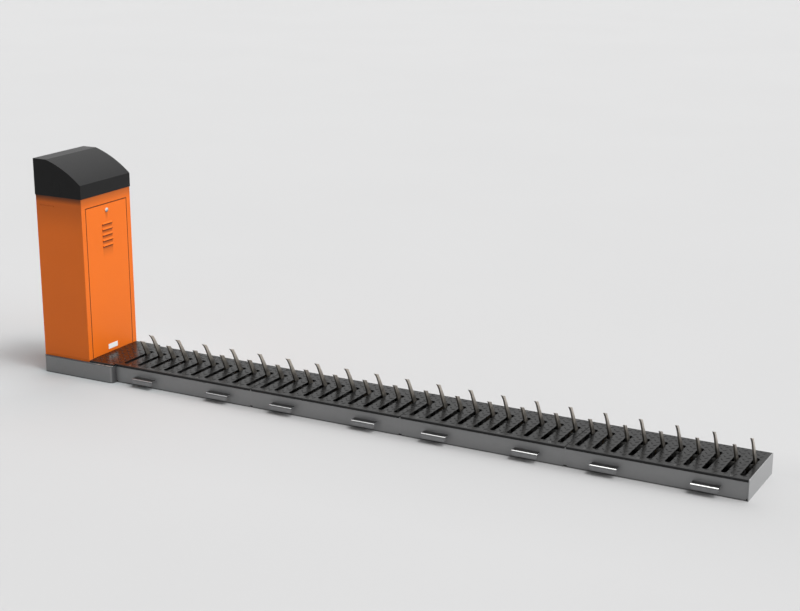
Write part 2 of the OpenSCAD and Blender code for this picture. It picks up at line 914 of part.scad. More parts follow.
// Finned motor with a terminal box on its flank
module motor() {
    z0 = crank_z + gear_up + motor_flange;
    side = shaft_y - motor_r;
    color([0.3, 0.33, 0.36])
        difference() {
            union() {
                bar_z(z0, z0 + motor_flange, motor_r + motor_rim, motor_x, shaft_y);
                bar_z(z0 + motor_flange - small, z0 + motor_l, motor_r - fin_l + 1, motor_x, shaft_y);
                for (a = [0 : fin_turn : 360 - fin_turn])
                    translate([motor_x, shaft_y, z0 + motor_flange - small])
                        rotate(a)
                            translate([motor_r - fin_l, -fin_t / 2, 0])
                                cube([fin_l, fin_t, motor_l - 2 * motor_flange]);
                block(motor_x - term_half, motor_x + term_half, side - term_out, side + fin_l + term_wall,
                    z0 + term_z[0], z0 + term_z[1]);
            }
            block(motor_x - term_half + term_wall, motor_x + term_half - term_wall, side - term_out - 1,
                side - term_out + 2, z0 + term_z[0] + term_wall, z0 + term_z[1] - term_wall);
        }
}

// Slotted cowl over the motor's fan
module motor_fan_cowl() {
    z0 = crank_z + gear_up + motor_flange + motor_l;
    z1 = z0 + cowl_h;
    color([0.15, 0.15, 0.16])
        difference() {
            bar_z(z0 - cowl_over, z1, motor_r, motor_x, shaft_y);
            bar_z(z0 - cowl_over - 1, z0, motor_r - fin_l + 1 + fit_gap / 2, motor_x, shaft_y);
            bar_z(z0 - small, z1 - cowl_t, motor_r - cowl_t, motor_x, shaft_y);
            for (r = grille_r)
                difference() {
                    bar_z(z1 - cowl_t - 1, z1 + 1, r + grille_w - 1, motor_x, shaft_y);
                    bar_z(z1 - cowl_t - 2, z1 + 2, r - 1, motor_x, shaft_y);
                    block(motor_x - motor_r, motor_x + motor_r, shaft_y - spoke_half, shaft_y + spoke_half,
                        z1 - cowl_t - 2, z1 + 2);
                    block(motor_x - spoke_half, motor_x + spoke_half, shaft_y - motor_r, shaft_y + motor_r,
                        z1 - cowl_t - 2, z1 + 2);
                }
        }
}

// Upright plate with foot and gussets that holds the gearbox
module drive_bracket() {
    x0 = gear_x0 - bracket_foot;
    x1 = gear_x0;
    y0 = shaft_y - bracket_half;
    y1 = shaft_y + bracket_half;
    low = base_top_z;
    top = crank_z + gear_up - 4;
    color([0.55, 0.56, 0.57])
        difference() {
            union() {
                block(x1 - bracket_t, x1, y0, y1, low, top);
                block(x0, x1, y0, y1, low, low + foot_t);
                for (y = [y0, y1 - gusset_t])
                    sideways(y, y + gusset_t)
                        polygon([[x0, low + foot_t / 2], [x1 - bracket_t / 2, low + foot_t / 2],
                            [x1 - bracket_t / 2, top], [x1 - gusset_in, top], [x0, low + gusset_toe]]);
            }
            bar_x(x1 - bracket_t - 1, x1 + 1, gear_half - 14, shaft_y, crank_z);
            flange_holes(x1 - bracket_t - 1, x1 + 1);
            for (y = [y0 + foot_hole_in, y1 - foot_hole_in])
                bar_z(low - 1, low + foot_t + 1, foot_hole_r, x0 + foot_hole_in, y);
        }
}

// Outline of the door opening's side return in X and Z, with an open-topped pivot slot
module pivot_slot() {
    translate([pivot_x, pivot_z])
        circle(r = stud_r + run_clear, $fn = 48);
    translate([pivot_x - stud_r - run_clear, pivot_z])
        square([2 * (stud_r + run_clear), slot_rise]);
    translate([pivot_x - frame_return, pivot_z + slot_rise - 2 * stud_r])
        square([frame_return + stud_r + run_clear, 2 * stud_r]);
}

// Rear panel of the cabinet with a flange at its top
module cabinet_back() {
    half = cab_w / 2;
    color([0.85, 0.4, 0.12]) {
        block(cab_x0, cab_x0 + cab_t, -half, half, base_top_z, cab_top);
        block(cab_x0, cab_x0 + rim_w, -half + rim_w, half - rim_w, cab_top - cab_t, cab_top);
    }
}

// Side panel of the cabinet, with a flange at its top for the hood's screws
module cabinet_side(side) {
    half = cab_w / 2;
    color([0.85, 0.4, 0.12])
        difference() {
            union() {
                block(cab_x0 + cab_t, cab_x1 - cab_t, side * (half - cab_t / 2) - cab_t / 2,
                    side * (half - cab_t / 2) + cab_t / 2, base_top_z, cab_top);
                block(cab_x0 + cab_t, cab_x1 - cab_t, side * (half - rim_w / 2) - rim_w / 2,
                    side * (half - rim_w / 2) + rim_w / 2, cab_top - cab_t, cab_top);
            }
            if (side < 0)
                for (i = [0 : vent_n - 1])
                    bar_y(-half - 1, -half + cab_t + 1, vent_r, vent_x + i * vent_pitch, vent_z);
            for (x = hood_screw_x)
                bar_z(cab_top - cab_t - 1, cab_top + 1, hood_screw_r + fit_gap, x, side * hood_screw_y);
        }
}

module cabinet_side_near() { cabinet_side(-1); }
module cabinet_side_far() { cabinet_side(1); }

// Front of the cabinet: sheet round the door opening, with returns that carry the door's studs
module cabinet_front() {
    half = cab_w / 2;
    color([0.85, 0.4, 0.12])
        difference() {
            union() {
                difference() {
                    block(cab_x1 - cab_t, cab_x1, -half, half, base_top_z, cab_top);
                    block(cab_x1 - cab_t - 1, cab_x1 + 1, -open_half, open_half, open_low, open_high);
                }
                for (side = [-1, 1])
                    block(cab_x1 - frame_return, cab_x1 - cab_t + small,
                        side * (open_half + cab_t / 2) - cab_t / 2,
                        side * (open_half + cab_t / 2) + cab_t / 2, open_low, open_high + cab_t);
                block(cab_x1 - frame_return, cab_x1 - cab_t + small, -open_half - cab_t, open_half + cab_t,
                    open_high, open_high + cab_t);
                block(cab_x1 - rim_w, cab_x1, -half + rim_w, half - rim_w, cab_top - cab_t, cab_top);
            }
            sideways(-open_half - cab_t - 1, open_half + cab_t + 1)
                pivot_slot();
        }
}

// Section of one louvre in X and Z: a quarter bulge over the door's face, open below
module louvre_section(z, cut) {
    r = (louvre_h * louvre_h + louvre_out * louvre_out) / (2 * louvre_out);
    intersection() {
        translate([cab_x1 - small, z])
            square([louvre_out + 1, louvre_h]);
        translate([cab_x1 + louvre_out - r, z])
            circle(r = r - cut, $fn = 96);
    }
}

module louvre(z) {
    sideways(-louvre_w / 2, louvre_w / 2)
        louvre_section(z, 0);
}

module louvre_hollow(z) {
    sideways(-louvre_w / 2 + louvre_t, louvre_w / 2 - louvre_t)
        louvre_section(z - small, louvre_t);
    block(cab_x1 - door_t - 1, cab_x1 + small, -louvre_w / 2 + louvre_t, louvre_w / 2 - louvre_t, z,
        z + louvre_h - 3 * louvre_t);
}

// Lift-off door: flat skin with folded returns, pressed louvres and a lock hole
module door() {
    x0 = cab_x1 - door_t - door_return;
    color([0.85, 0.4, 0.12]) {
        difference() {
            union() {
                difference() {
                    block(x0, cab_x1, -door_half, door_half, door_low, door_top);
                    block(x0 - 1, cab_x1 - door_t, -door_half + door_t, door_half - door_t,
                        door_low + door_t, door_top - door_t);
                }
                for (i = [0 : louvre_n - 1])
                    louvre(louvre_top - i * louvre_pitch);
            }
            for (i = [0 : louvre_n - 1])
                louvre_hollow(louvre_top - i * louvre_pitch);
            bar_x(cab_x1 - door_t - 1, cab_x1 + 1, lock_r + fit_gap, 0, lock_z);
        }
        for (side = [-1, 1])
            bar_y(side > 0 ? door_half - door_t / 2 : -door_half - stud_out,
                side > 0 ? door_half + stud_out : -door_half + door_t / 2, stud_r, pivot_x, pivot_z);
    }
}

// Bare plate low on the door
module label_plate() {
    color([0.92, 0.92, 0.9])
        difference() {
            block(cab_x1, cab_x1 + label_t, -label_w / 2, label_w / 2, label_z, label_z + label_h);
            for (side = [-1, 1])
                bar_x(cab_x1 - 1, cab_x1 + label_t + 1, label_hole_r, side * (label_w / 2 - label_hole_in),
                    label_z + label_h / 2);
        }
}

// Lock housing through the door, with its flange outside and its nut inside
module lock_barrel() {
    color([0.85, 0.85, 0.86])
        difference() {
            union() {
                bar_x(cab_x1, cab_x1 + lock_flange, lock_flange_r, 0, lock_z);
                bar_x(lock_back, cab_x1 + 1, lock_r, 0, lock_z);
                translate([cab_x1 - door_t - lock_nut, 0, lock_z])
                    rotate([0, 90, 0])
                        cylinder(r = lock_r * 1.5, h = lock_nut, $fn = 6);
            }
            bar_x(lock_back - 1, cab_x1 + lock_flange + 1, plug_r + run_clear, 0, lock_z);
        }
}

// Turning plug with a slot for the key
module lock_plug() {
    color([0.75, 0.75, 0.76])
        difference() {
            union() {
                bar_x(lock_back - 1, cab_x1 + lock_flange - 0.5, plug_r, 0, lock_z);
                block(lock_back - cam_t - 4, lock_back - 1 + small, -cam_square, cam_square,
                    lock_z - cam_square, lock_z + cam_square);
            }
            block(cab_x1 + lock_flange - key_deep, cab_x1 + lock_flange + 1, -key_half, key_half,
                lock_z - key_up, lock_z + key_up);
        }
}

// Cam that turns up behind the top return of the door opening to lock it
module lock_cam() {
    color([0.6, 0.61, 0.62])
        difference() {
            across(lock_back - 2 - cam_t, cam_t)
                link_outline(0, lock_z, cam_r[0], cam_l, lock_z, cam_r[1]);
            block(lock_back - cam_t - 3, lock_back, -cam_square - slide_fit, cam_square + slide_fit,
                lock_z - cam_square - slide_fit, lock_z + cam_square + slide_fit);
        }
}

// Side outline of the hood in X and Z, drawn in by a wall thickness
module hood_outline(t) {
    low_p = [hood_x1, hood_fold];
    high_p = [hood_flat, hood_top];
    mid = (low_p + high_p) / 2;
    chord = norm(low_p - high_p);
    rise = sqrt(hood_r * hood_r - chord * chord / 4);
    along = (low_p - high_p) / chord;
    centre = mid + rise * [along[1], -along[0]];
    x1 = hood_x1 - t;
    top = hood_top - t;
    r = hood_r - t;
    flat = centre[0] + sqrt(r * r - pow(top - centre[1], 2));
    fold = centre[1] + sqrt(r * r - pow(x1 - centre[0], 2));
    difference() {
        translate([hood_x0 + t, hood_low - t])
            square([x1 - hood_x0 - t, top - hood_low + t]);
        difference() {
            translate([flat, fold])
                square([x1 - flat + 1, top - fold + 1]);
            translate(centre)
                circle(r = r, $fn = 360);
        }
    }
}

// Arched cut-out in the hood's cheek, open at the hood's lower edge
module arch_outline(gap) {
    translate([plug_x - plug_half + gap, hood_low - (gap > 0 ? 0 : 1)])
        square([2 * (plug_half - gap), plug_top - plug_half - hood_low + (gap > 0 ? 0 : 1)]);
    translate([plug_x, plug_top - plug_half])
        circle(r = plug_half - gap, $fn = 64);
    for (side = [-1, 1])
        translate([plug_x + side * (plug_half - gap) - plug_notch_w, plug_notch_z + gap])
            square([2 * plug_notch_w, plug_notch_h - 2 * gap]);
}

// Hood with curved roof, inner ledges and the cut-out in one cheek
module hood() {
    color([0.12, 0.12, 0.12])
        difference() {
            sideways(-hood_half, hood_half)
                hood_outline(0);
            difference() {
                sideways(-hood_half + hood_t, hood_half - hood_t)
                    hood_outline(hood_t);
                for (side = [-1, 1])
                    block(hood_x0 + hood_t + 1, hood_x1 - hood_t - 1,
                        side * (hood_screw_y + 1) - rim_w / 2 - 1, side * (hood_screw_y + 1) + rim_w / 2 + 1,
                        cab_top, cab_top + hood_t);
            }
            sideways(-hood_half - 1, -hood_half + hood_t)
                arch_outline(0);
            for (x = hood_screw_x, side = [-1, 1])
                bar_z(cab_top - 1, cab_top + hood_t + 1, hood_screw_r + fit_gap, x, side * hood_screw_y);
        }
}

// Blanking plug in the cheek's cut-out
module hood_plug() {
    color([0.14, 0.14, 0.14])
        sideways(-hood_half, -hood_half + hood_t)
            arch_outline(plug_gap);
}

module hood_screws() {
    color([0.6, 0.61, 0.62])
        for (x = hood_screw_x, side = [-1, 1]) {
            bar_z(cab_top - hood_screw_l, cab_top + hood_t + small, hood_screw_r, x, side * hood_screw_y);
            translate([x, side * hood_screw_y, cab_top + hood_t])
                cylinder(r = hood_screw_r * 1.9, h = hood_screw_r + 1, $fn = 6);
        }
}

// Control enclosure on the cabinet's rear wall
module control_box() {
    color([0.75, 0.76, 0.76])
        difference() {
            block(box_p[0], box_p[0] + box_s[0], box_p[1], box_p[1] + box_s[1], box_p[2],
                box_p[2] + box_s[2]);
            block(box_p[0] + box_t, box_p[0] + box_s[0] + 1, box_p[1] + box_t, box_p[1] + box_s[1] - box_t,
                box_p[2] + box_t, box_p[2] + box_s[2] - box_t);
            for (i = [1 : gland_n])
                bar_z(box_p[2] - 1, box_p[2] + box_t + 1, gland_r + fit_gap, box_p[0] + box_s[0] / 2,
                    box_p[1] + box_s[1] * i / (gland_n + 1));
        }
}

module control_lid() {
    x0 = box_p[0] + box_s[0];
    color([0.8, 0.81, 0.81])
        union() {
            block(x0, x0 + lid_t, box_p[1], box_p[1] + box_s[1], box_p[2], box_p[2] + box_s[2]);
            block(x0 + lid_t - small, x0 + lid_t + lid_rise, box_p[1] + lid_t, box_p[1] + box_s[1] - lid_t,
                box_p[2] + lid_t, box_p[2] + box_s[2] - lid_t);
        }
}

// Glands for the cables that enter the control enclosure
module cable_glands() {
    color([0.1, 0.1, 0.1])
        for (i = [1 : gland_n])
            translate([box_p[0] + box_s[0] / 2, box_p[1] + box_s[1] * i / (gland_n + 1), box_p[2]])
                difference() {
                    union() {
                        translate([0, 0, -gland_nut])
                            cylinder(r = gland_r * 1.5, h = gland_nut, $fn = 6);
                        translate([0, 0, -gland_cap])
                            cylinder(r = gland_r * 1.25, h = gland_cap - gland_nut + small, $fn = 48);
                        cylinder(r = gland_r, h = gland_in, $fn = 48);
                    }
                    translate([0, 0, -gland_cap - 1])
                        cylinder(r = gland_r * 0.6, h = gland_cap + gland_in + 2, $fn = 48);
                }
}

tray_1();
tray_2();
tray_3();
tray_4();
ribs_1();
ribs_2();
ribs_3();
ribs_4();
cover_1();
cover_2();
cover_3();
cover_4();
shaft_1();
shaft_2();
shaft_3();
shaft_4();
claws_short_1();
claws_short_2();
claws_short_3();
claws_short_4();
claws_tall_1();
claws_tall_2();
claws_tall_3();
claws_tall_4();
shaft_bushings();
couplings();
cover_screws();
frame_bolts();
end_plate();
lugs_front();
lugs_back();
base_floor();
base_walls();
base_top();
base_cover();
base_bearings();
drive_shaft();
lever();
rod();
crank();
output_shaft();
drive_bracket();
gearbox();
motor();
motor_fan_cowl();
cabinet_back();
cabinet_side_near();
cabinet_side_far();
cabinet_front();
door();
label_plate();
lock_barrel();
lock_plug();
lock_cam();
hood();
hood_plug();
hood_screws();
control_box();
control_lid();
cable_glands();
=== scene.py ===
"""Looks of a motor-driven tyre spike strip: four claw modules, a drive base and its cabinet.

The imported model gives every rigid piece. This script gives each one its finish, adds the raised
tears of the chequer plate, the weld beads of the anchor lugs and the door's rubber seal, and sets
a pale studio with a camera at the photograph's angle. Lengths are metres.
"""

import inspect
import logging
import math
from dataclasses import dataclass, field, replace
from enum import Enum
from functools import partial, partialmethod, reduce
from typing import ClassVar

import bpy
import numpy as np
from mathutils import Euler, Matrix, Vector


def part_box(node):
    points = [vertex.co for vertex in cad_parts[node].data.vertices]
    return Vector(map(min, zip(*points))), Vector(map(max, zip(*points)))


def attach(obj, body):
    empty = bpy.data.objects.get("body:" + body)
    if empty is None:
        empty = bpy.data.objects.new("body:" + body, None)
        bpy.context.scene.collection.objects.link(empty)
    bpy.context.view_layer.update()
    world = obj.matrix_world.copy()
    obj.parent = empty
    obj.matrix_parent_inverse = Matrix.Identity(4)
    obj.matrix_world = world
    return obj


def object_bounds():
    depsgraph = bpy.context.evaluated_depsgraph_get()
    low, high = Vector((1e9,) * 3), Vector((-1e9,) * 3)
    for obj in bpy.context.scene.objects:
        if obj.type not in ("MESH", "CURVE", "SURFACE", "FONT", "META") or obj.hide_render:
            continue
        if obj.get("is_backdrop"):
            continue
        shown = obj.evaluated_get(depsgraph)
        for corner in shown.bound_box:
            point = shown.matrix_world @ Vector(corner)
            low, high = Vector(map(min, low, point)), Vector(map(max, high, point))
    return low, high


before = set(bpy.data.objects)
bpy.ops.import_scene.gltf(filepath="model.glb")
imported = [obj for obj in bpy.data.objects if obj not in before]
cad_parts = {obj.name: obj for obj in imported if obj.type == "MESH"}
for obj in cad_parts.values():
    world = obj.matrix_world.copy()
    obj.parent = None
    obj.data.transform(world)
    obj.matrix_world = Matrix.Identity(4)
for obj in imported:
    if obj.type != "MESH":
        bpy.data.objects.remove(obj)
CAD_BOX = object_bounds()

log = logging.getLogger("spike_strip")

Triple = tuple[float, float, float]
Colour = Triple
Socket = bpy.types.NodeSocket
Value = float | Socket
Arrow = Triple | Socket
Look = tuple[Socket, Socket]

UP = (0.0, 0.0, 1.0)
AHEAD = (1.0, 0.0, 0.0)
FIXED_BODY = "frame"


def tone(code: str) -> Colour:
    """Turns a written colour into the linear values that a shader takes.

    Each channel c of the written colour becomes ((c + 0.055) / 1.055) to the power 2.4.
    """
    channels = np.array([int(code[i:i + 2], 16) for i in (0, 2, 4)]) / 255.0
    return tuple(float(v) for v in ((channels + 0.055) / 1.055) ** 2.4)


def grey(level: float) -> Colour:
    """Returns a neutral colour."""
    return (level, level, level)


class Slot(Enum):
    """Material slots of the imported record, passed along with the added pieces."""

    GALVANISED = "galvanised"
    CHEQUER = "black_chequer"
    BLACK_PLASTIC = "black_plastic"


class Lean(Enum):
    """Direction in which a chequer tear leans, seen from above with X to the right."""

    LEFT = 1
    RIGHT = -1


class Graph:
    """A node tree with short calls that add nodes and join them."""

    def __init__(self, tree: bpy.types.NodeTree) -> None:
        """Empties the tree of a material, a world or a group, and keeps it."""
        self.tree = tree
        self.tree.nodes.clear()

    def add(self, kind: str, inputs: dict | None = None, **settings: object) -> bpy.types.Node:
        """Adds one node.

        Args:
            kind: Blender's type name of the node.
            inputs: Socket name or index, and the value or the output socket that feeds it.
            settings: Properties of the node.

        Returns:
            The new node.
        """
        node = self.tree.nodes.new(kind)
        for name, value in settings.items():
            setattr(node, name, value)
        for name, value in (inputs or {}).items():
            socket = node.inputs[name]
            if isinstance(value, Socket):
                self.tree.links.new(value, socket)
            elif isinstance(value, tuple) and socket.type == "RGBA":
                socket.default_value = (*value, 1.0)
            else:
                socket.default_value = value
        return node

    def math(
        self, operation: str, first: Value, second: Value = 0.0, clamp: bool = False,
    ) -> Socket:
        """Returns the output of a Math node on two values or sockets."""
        inputs = {0: first, 1: second}
        return self.add("ShaderNodeMath", inputs, operation=operation, use_clamp=clamp).outputs[0]

    plus = partialmethod(math, "ADD")
    minus = partialmethod(math, "SUBTRACT")
    over = partialmethod(math, "DIVIDE")

    def times(self, *values: Value, clamp: bool = False) -> Socket:
        """Returns the product of all values, kept from 0 to 1 where clamp is set."""
        return reduce(partial(self.math, "MULTIPLY", clamp=clamp), values)

    def most(self, *values: Value) -> Socket:
        """Returns the greatest of all values."""
        return reduce(partial(self.math, "MAXIMUM"), values)

    def weigh(self, first: Value, second: Value, share: float) -> Socket:
        """Returns first times a share, and second times the rest."""
        return self.plus(self.times(first, share), self.times(second, 1.0 - share))

    def lift(self, value: Value, mask: Socket, amount: float) -> Socket:
        """Returns a value raised by a mask times an amount, and kept from 0 to 1."""
        return self.plus(value, self.times(mask, amount), clamp=True)

    def ramp(
        self, value: Value, low: Value, high: Value, to_low: float = 0.0, to_high: float = 1.0,
    ) -> Socket:
        """Returns a value mapped from one range to another, with smooth ends."""
        inputs = {0: value, 1: low, 2: high, 3: to_low, 4: to_high}
        return self.add("ShaderNodeMapRange", inputs, interpolation_type="SMOOTHSTEP").outputs[0]

    def fall(self, value: Value, low: Value, high: Value, full: float = 1.0) -> Socket:
        """Returns the full value below low, and less and less of it up to nothing at high."""
        return self.ramp(value, low, high, full, 0.0)

    def blend(self, share: Value, first: Arrow, second: Arrow) -> Socket:
        """Returns the colour between first and second at a share from 0 to 1."""
        node = self.add("ShaderNodeMix", {0: share, 6: first, 7: second}, data_type="RGBA")
        return node.outputs[2]

    def vector(self, operation: str, first: Arrow, second: Arrow) -> Socket:
        """Returns the vector, or the number, that a Vector Math node works out."""
        node = self.add("ShaderNodeVectorMath", {0: first, 1: second}, operation=operation)
        return node.outputs["Value" if operation in ("DOT_PRODUCT", "DISTANCE") else "Vector"]

    def spot(self) -> Socket:
        """Returns the Object coordinates."""
        return self.add("ShaderNodeTexCoord").outputs["Object"]

    def axes(self, vector: Socket | None = None) -> list[Socket]:
        """Returns X, Y and Z of a vector, or else of the Object coordinates."""
        source = self.spot() if vector is None else vector
        return list(self.add("ShaderNodeSeparateXYZ", {0: source}).outputs)

    def size(self, value: Socket) -> Socket:
        """Returns a value without its sign."""
        return self.math("ABSOLUTE", value)

    def noise(
        self, spot: Socket, scale: Value, detail: Value, output: int | str = 0,
    ) -> Socket:
        """Returns fractal noise at a place."""
        inputs = {"Vector": spot, "Scale": scale, "Detail": detail}
        return self.add("ShaderNodeTexNoise", inputs).outputs[output]

    def normal(self, output: str = "Normal") -> Socket:
        """Returns the surface's normal, or another output of its geometry."""
        return self.add("ShaderNodeNewGeometry").outputs[output]

    def rounded(self, radius: Value) -> Socket:
        """Returns the normal averaged over a radius."""
        return self.add("ShaderNodeBevel", {"Radius": radius}, samples=4).outputs[0]


class Effect:
    """A shared effect: one shader node group, built once, whose inputs are wire's arguments."""

    outlet: ClassVar[tuple[str, str]] = ("Mask", "NodeSocketFloat")
    built: ClassVar[dict[str, bpy.types.NodeTree]] = {}

    @classmethod
    def wire(cls, graph: Graph) -> Socket:
        """Builds the inside of the group and returns the socket that it puts out."""
        raise NotImplementedError

    @classmethod
    def group(cls) -> bpy.types.NodeTree:
        """Builds the group at the first call.

        Returns:
            The node group.
        """
        title = cls.__name__
        if title not in Effect.built:
            tree = bpy.data.node_groups.new(title, "ShaderNodeTree")
            graph = Graph(tree)
            start = graph.add("NodeGroupInput")
            end = graph.add("NodeGroupOutput")
            _, *inlets = inspect.signature(cls.wire).parameters.values()
            for inlet in inlets:
                kind = "Vector" if isinstance(inlet.default, tuple) else "Float"
                socket = tree.interface.new_socket(
                    inlet.name, in_out="INPUT", socket_type=f"NodeSocket{kind}")
                socket.default_value = inlet.default
            name, kind = cls.outlet
            tree.interface.new_socket(name, in_out="OUTPUT", socket_type=kind)
            fed = {inlet.name: start.outputs[inlet.name] for inlet in inlets}
            tree.links.new(cls.wire(graph, **fed), end.inputs[name])
            Effect.built[title] = tree
        return Effect.built[title]

    @classmethod
    def use(cls, graph: Graph, **values: Value | Arrow) -> Socket:
        """Places the effect in a material, with values for its inputs, and returns its output."""
        node = graph.add("ShaderNodeGroup", values, node_tree=cls.group())
        return node.outputs[cls.outlet[0]]


class Grain(Effect):
    """Fractal noise on Object coordinates, from 0 to 1, which a stretch can turn into a lay."""

    outlet = ("Value", "NodeSocketFloat")
    middle = (0.3, 0.7)

    @classmethod
    def wire(
        cls, graph: Graph, scale: Value = 100.0, detail: Value = 3.0,
        stretch: Arrow = (1.0, 1.0, 1.0),
    ) -> Socket:
        """Noise at the stretched place, with its middle range spread over 0 to 1."""
        place = graph.vector("MULTIPLY", graph.spot(), stretch)
        return graph.ramp(graph.noise(place, scale, detail), *cls.middle)


class Spangle(Effect):
    """Crystals of hot-dip zinc: each cell of a warped cell pattern has its own shade."""

    outlet = ("Value", "NodeSocketFloat")
    finer = 3.0
    coarse_share = 0.65

    @classmethod
    def wire(cls, graph: Graph, scale: Value = 60.0, warp: Value = 0.3) -> Socket:
        """Two cell patterns, three to one in size, on coordinates that noise has shifted.

        Args:
            graph: Graph of the group.
            scale: Large cells per metre.
            warp: How far the noise shifts a place, as a share of a large cell.

        Returns:
            Shade of the crystals.
        """
        spot = graph.spot()
        noise = graph.noise(spot, scale, detail=2.0, output="Color")
        shift = graph.vector("SUBTRACT", noise, grey(0.5))
        inputs = {0: shift, "Scale": graph.over(warp, scale)}
        shift = graph.add("ShaderNodeVectorMath", inputs, operation="SCALE").outputs[0]
        spot = graph.vector("ADD", spot, shift)
        shades = []
        for channel, density in enumerate((scale, graph.times(scale, cls.finer))):
            cells = graph.add("ShaderNodeTexVoronoi", {"Vector": spot, "Scale": density})
            parts = graph.add("ShaderNodeSeparateColor", {0: cells.outputs["Color"]})
            shades.append(parts.outputs[channel])
        return graph.weigh(*shades, cls.coarse_share)


class SoftEdge(Effect):
    """Rounded look of sharp edges, with a relief of the given height on top."""

    outlet = ("Normal", "NodeSocketVector")

    @classmethod
    def wire(
        cls, graph: Graph, radius: Value = 0.001, height: Value = 0.5, depth: Value = 0.0001,
    ) -> Socket:
        """The normal averaged over a radius, tilted by the relief."""
        return graph.add("ShaderNodeBump", {
            "Strength": 1.0, "Distance": depth, "Height": height, "Normal": graph.rounded(radius),
        }).outputs[0]


class EdgeWear(Effect):
    """Mask of rubbed edges, broken up by noise."""

    turn = (0.01, 0.16)
    gaps = (0.42, 0.6)

    @classmethod
    def wire(
        cls, graph: Graph, radius: Value = 0.002, amount: Value = 0.5, scale: Value = 40.0,
    ) -> Socket:
        """How far the averaged normal turns from the true one, times noise, times the amount.

        Args:
            graph: Graph of the group.
            radius: Radius over which the normal is averaged.
            amount: Greatest share.
            scale: Patches of the noise per metre.

        Returns:
            Mask of the rubbed edges.
        """
        same = graph.vector("DOT_PRODUCT", graph.rounded(radius), graph.normal("True Normal"))
        turned = graph.ramp(graph.minus(1.0, same), *cls.turn)
        broken = graph.ramp(graph.noise(graph.spot(), scale, detail=4.0), *cls.gaps)
        return graph.times(turned, broken, amount, clamp=True)


class SettledDust(Effect):
    """Mask of dust that lies on faces turned upwards, and low on walls near the ground."""

    upward = (0.5, 1.0)
    gaps = (0.35, 0.7)

    @classmethod
    def wire(
        cls, graph: Graph, amount: Value = 0.3, scale: Value = 12.0, low: Value = 0.06,
    ) -> Socket:
        """Upward part of the normal, or nearness to the ground, times noise.

        Args:
            graph: Graph of the group.
            amount: Greatest share.
            scale: Patches of the noise per metre.
            low: Height up to which dust lies on walls.

        Returns:
            Mask of the dust.
        """
        upward = graph.ramp(graph.axes(graph.normal())[2], *cls.upward)
        spot = graph.spot()
        near = graph.ramp(graph.over(graph.axes(spot)[2], low), 1.0, 0.0)
        broken = graph.ramp(graph.noise(spot, scale, detail=6.0), *cls.gaps)
        return graph.times(graph.most(upward, near), broken, amount, clamp=True)


class HiddenGrime(Effect):
    """Mask of greasy road filth and painted shade on what lies under the covers, patchy with noise.
    """

    patches = (0.2, 0.6, 0.75, 1.0)

    @classmethod
    def wire(
        cls, graph: Graph, amount: Value = 0.8, top: Value = 0.12, fade: Value = 0.03,
        wall: Value = 0.21, scale: Value = 25.0,
    ) -> Socket:
        """Full below the top height and between the walls, fading over a height, times noise.

        Args:
            graph: Graph of the group.
            amount: Greatest share.
            top: Height below which the filth and painted shade are full.
            fade: Height over which it fades out above that.
            wall: Distance of the walls from the middle plane.
            scale: Patches of the noise per metre.

        Returns:
            Mask of the filth and painted shade.
        """
        spot = graph.spot()
        _, y, z = graph.axes(spot)
        below = graph.fall(z, top, graph.plus(top, fade))
        inside = graph.math("LESS_THAN", graph.size(y), wall)
        broken = graph.ramp(graph.noise(spot, scale, detail=5.0), *cls.patches)
        return graph.times(below, inside, broken, amount, clamp=True)


class Along(Effect):
    """Mask of a vector's part along a direction, which is 0 at one bound and 1 at the other."""

    @classmethod
    def wire(
        cls, graph: Graph, vector: Arrow = (0.0, 0.0, 0.0), towards: Arrow = UP,
        low: Value = 0.0, high: Value = 1.0,
    ) -> Socket:
        """Scalar product of the vector and the direction, between the bounds."""
        return graph.ramp(graph.vector("DOT_PRODUCT", vector, towards), low, high)


class Facing(Enum):
    """Ways that a surface can face: a direction, and the bounds of the normal's part along it."""

    # Masks by the way a face turns; the lug, ledge and base finishes use them to place painted
    # highlights and painted shade.
    LEDGE = (UP, 0.93, 0.985)
    FOLD = (UP, 0.58, 0.72)
    UNDER_FOLD = (UP, 0.08, 0.3)
    FRONT = (AHEAD, 0.45, 0.8)

    def mask(self, graph: Graph) -> Socket:
        """Returns the mask of the surfaces that face this way."""
        towards, low, high = self.value
        return Along.use(graph, vector=graph.normal(), towards=towards, low=low, high=high)


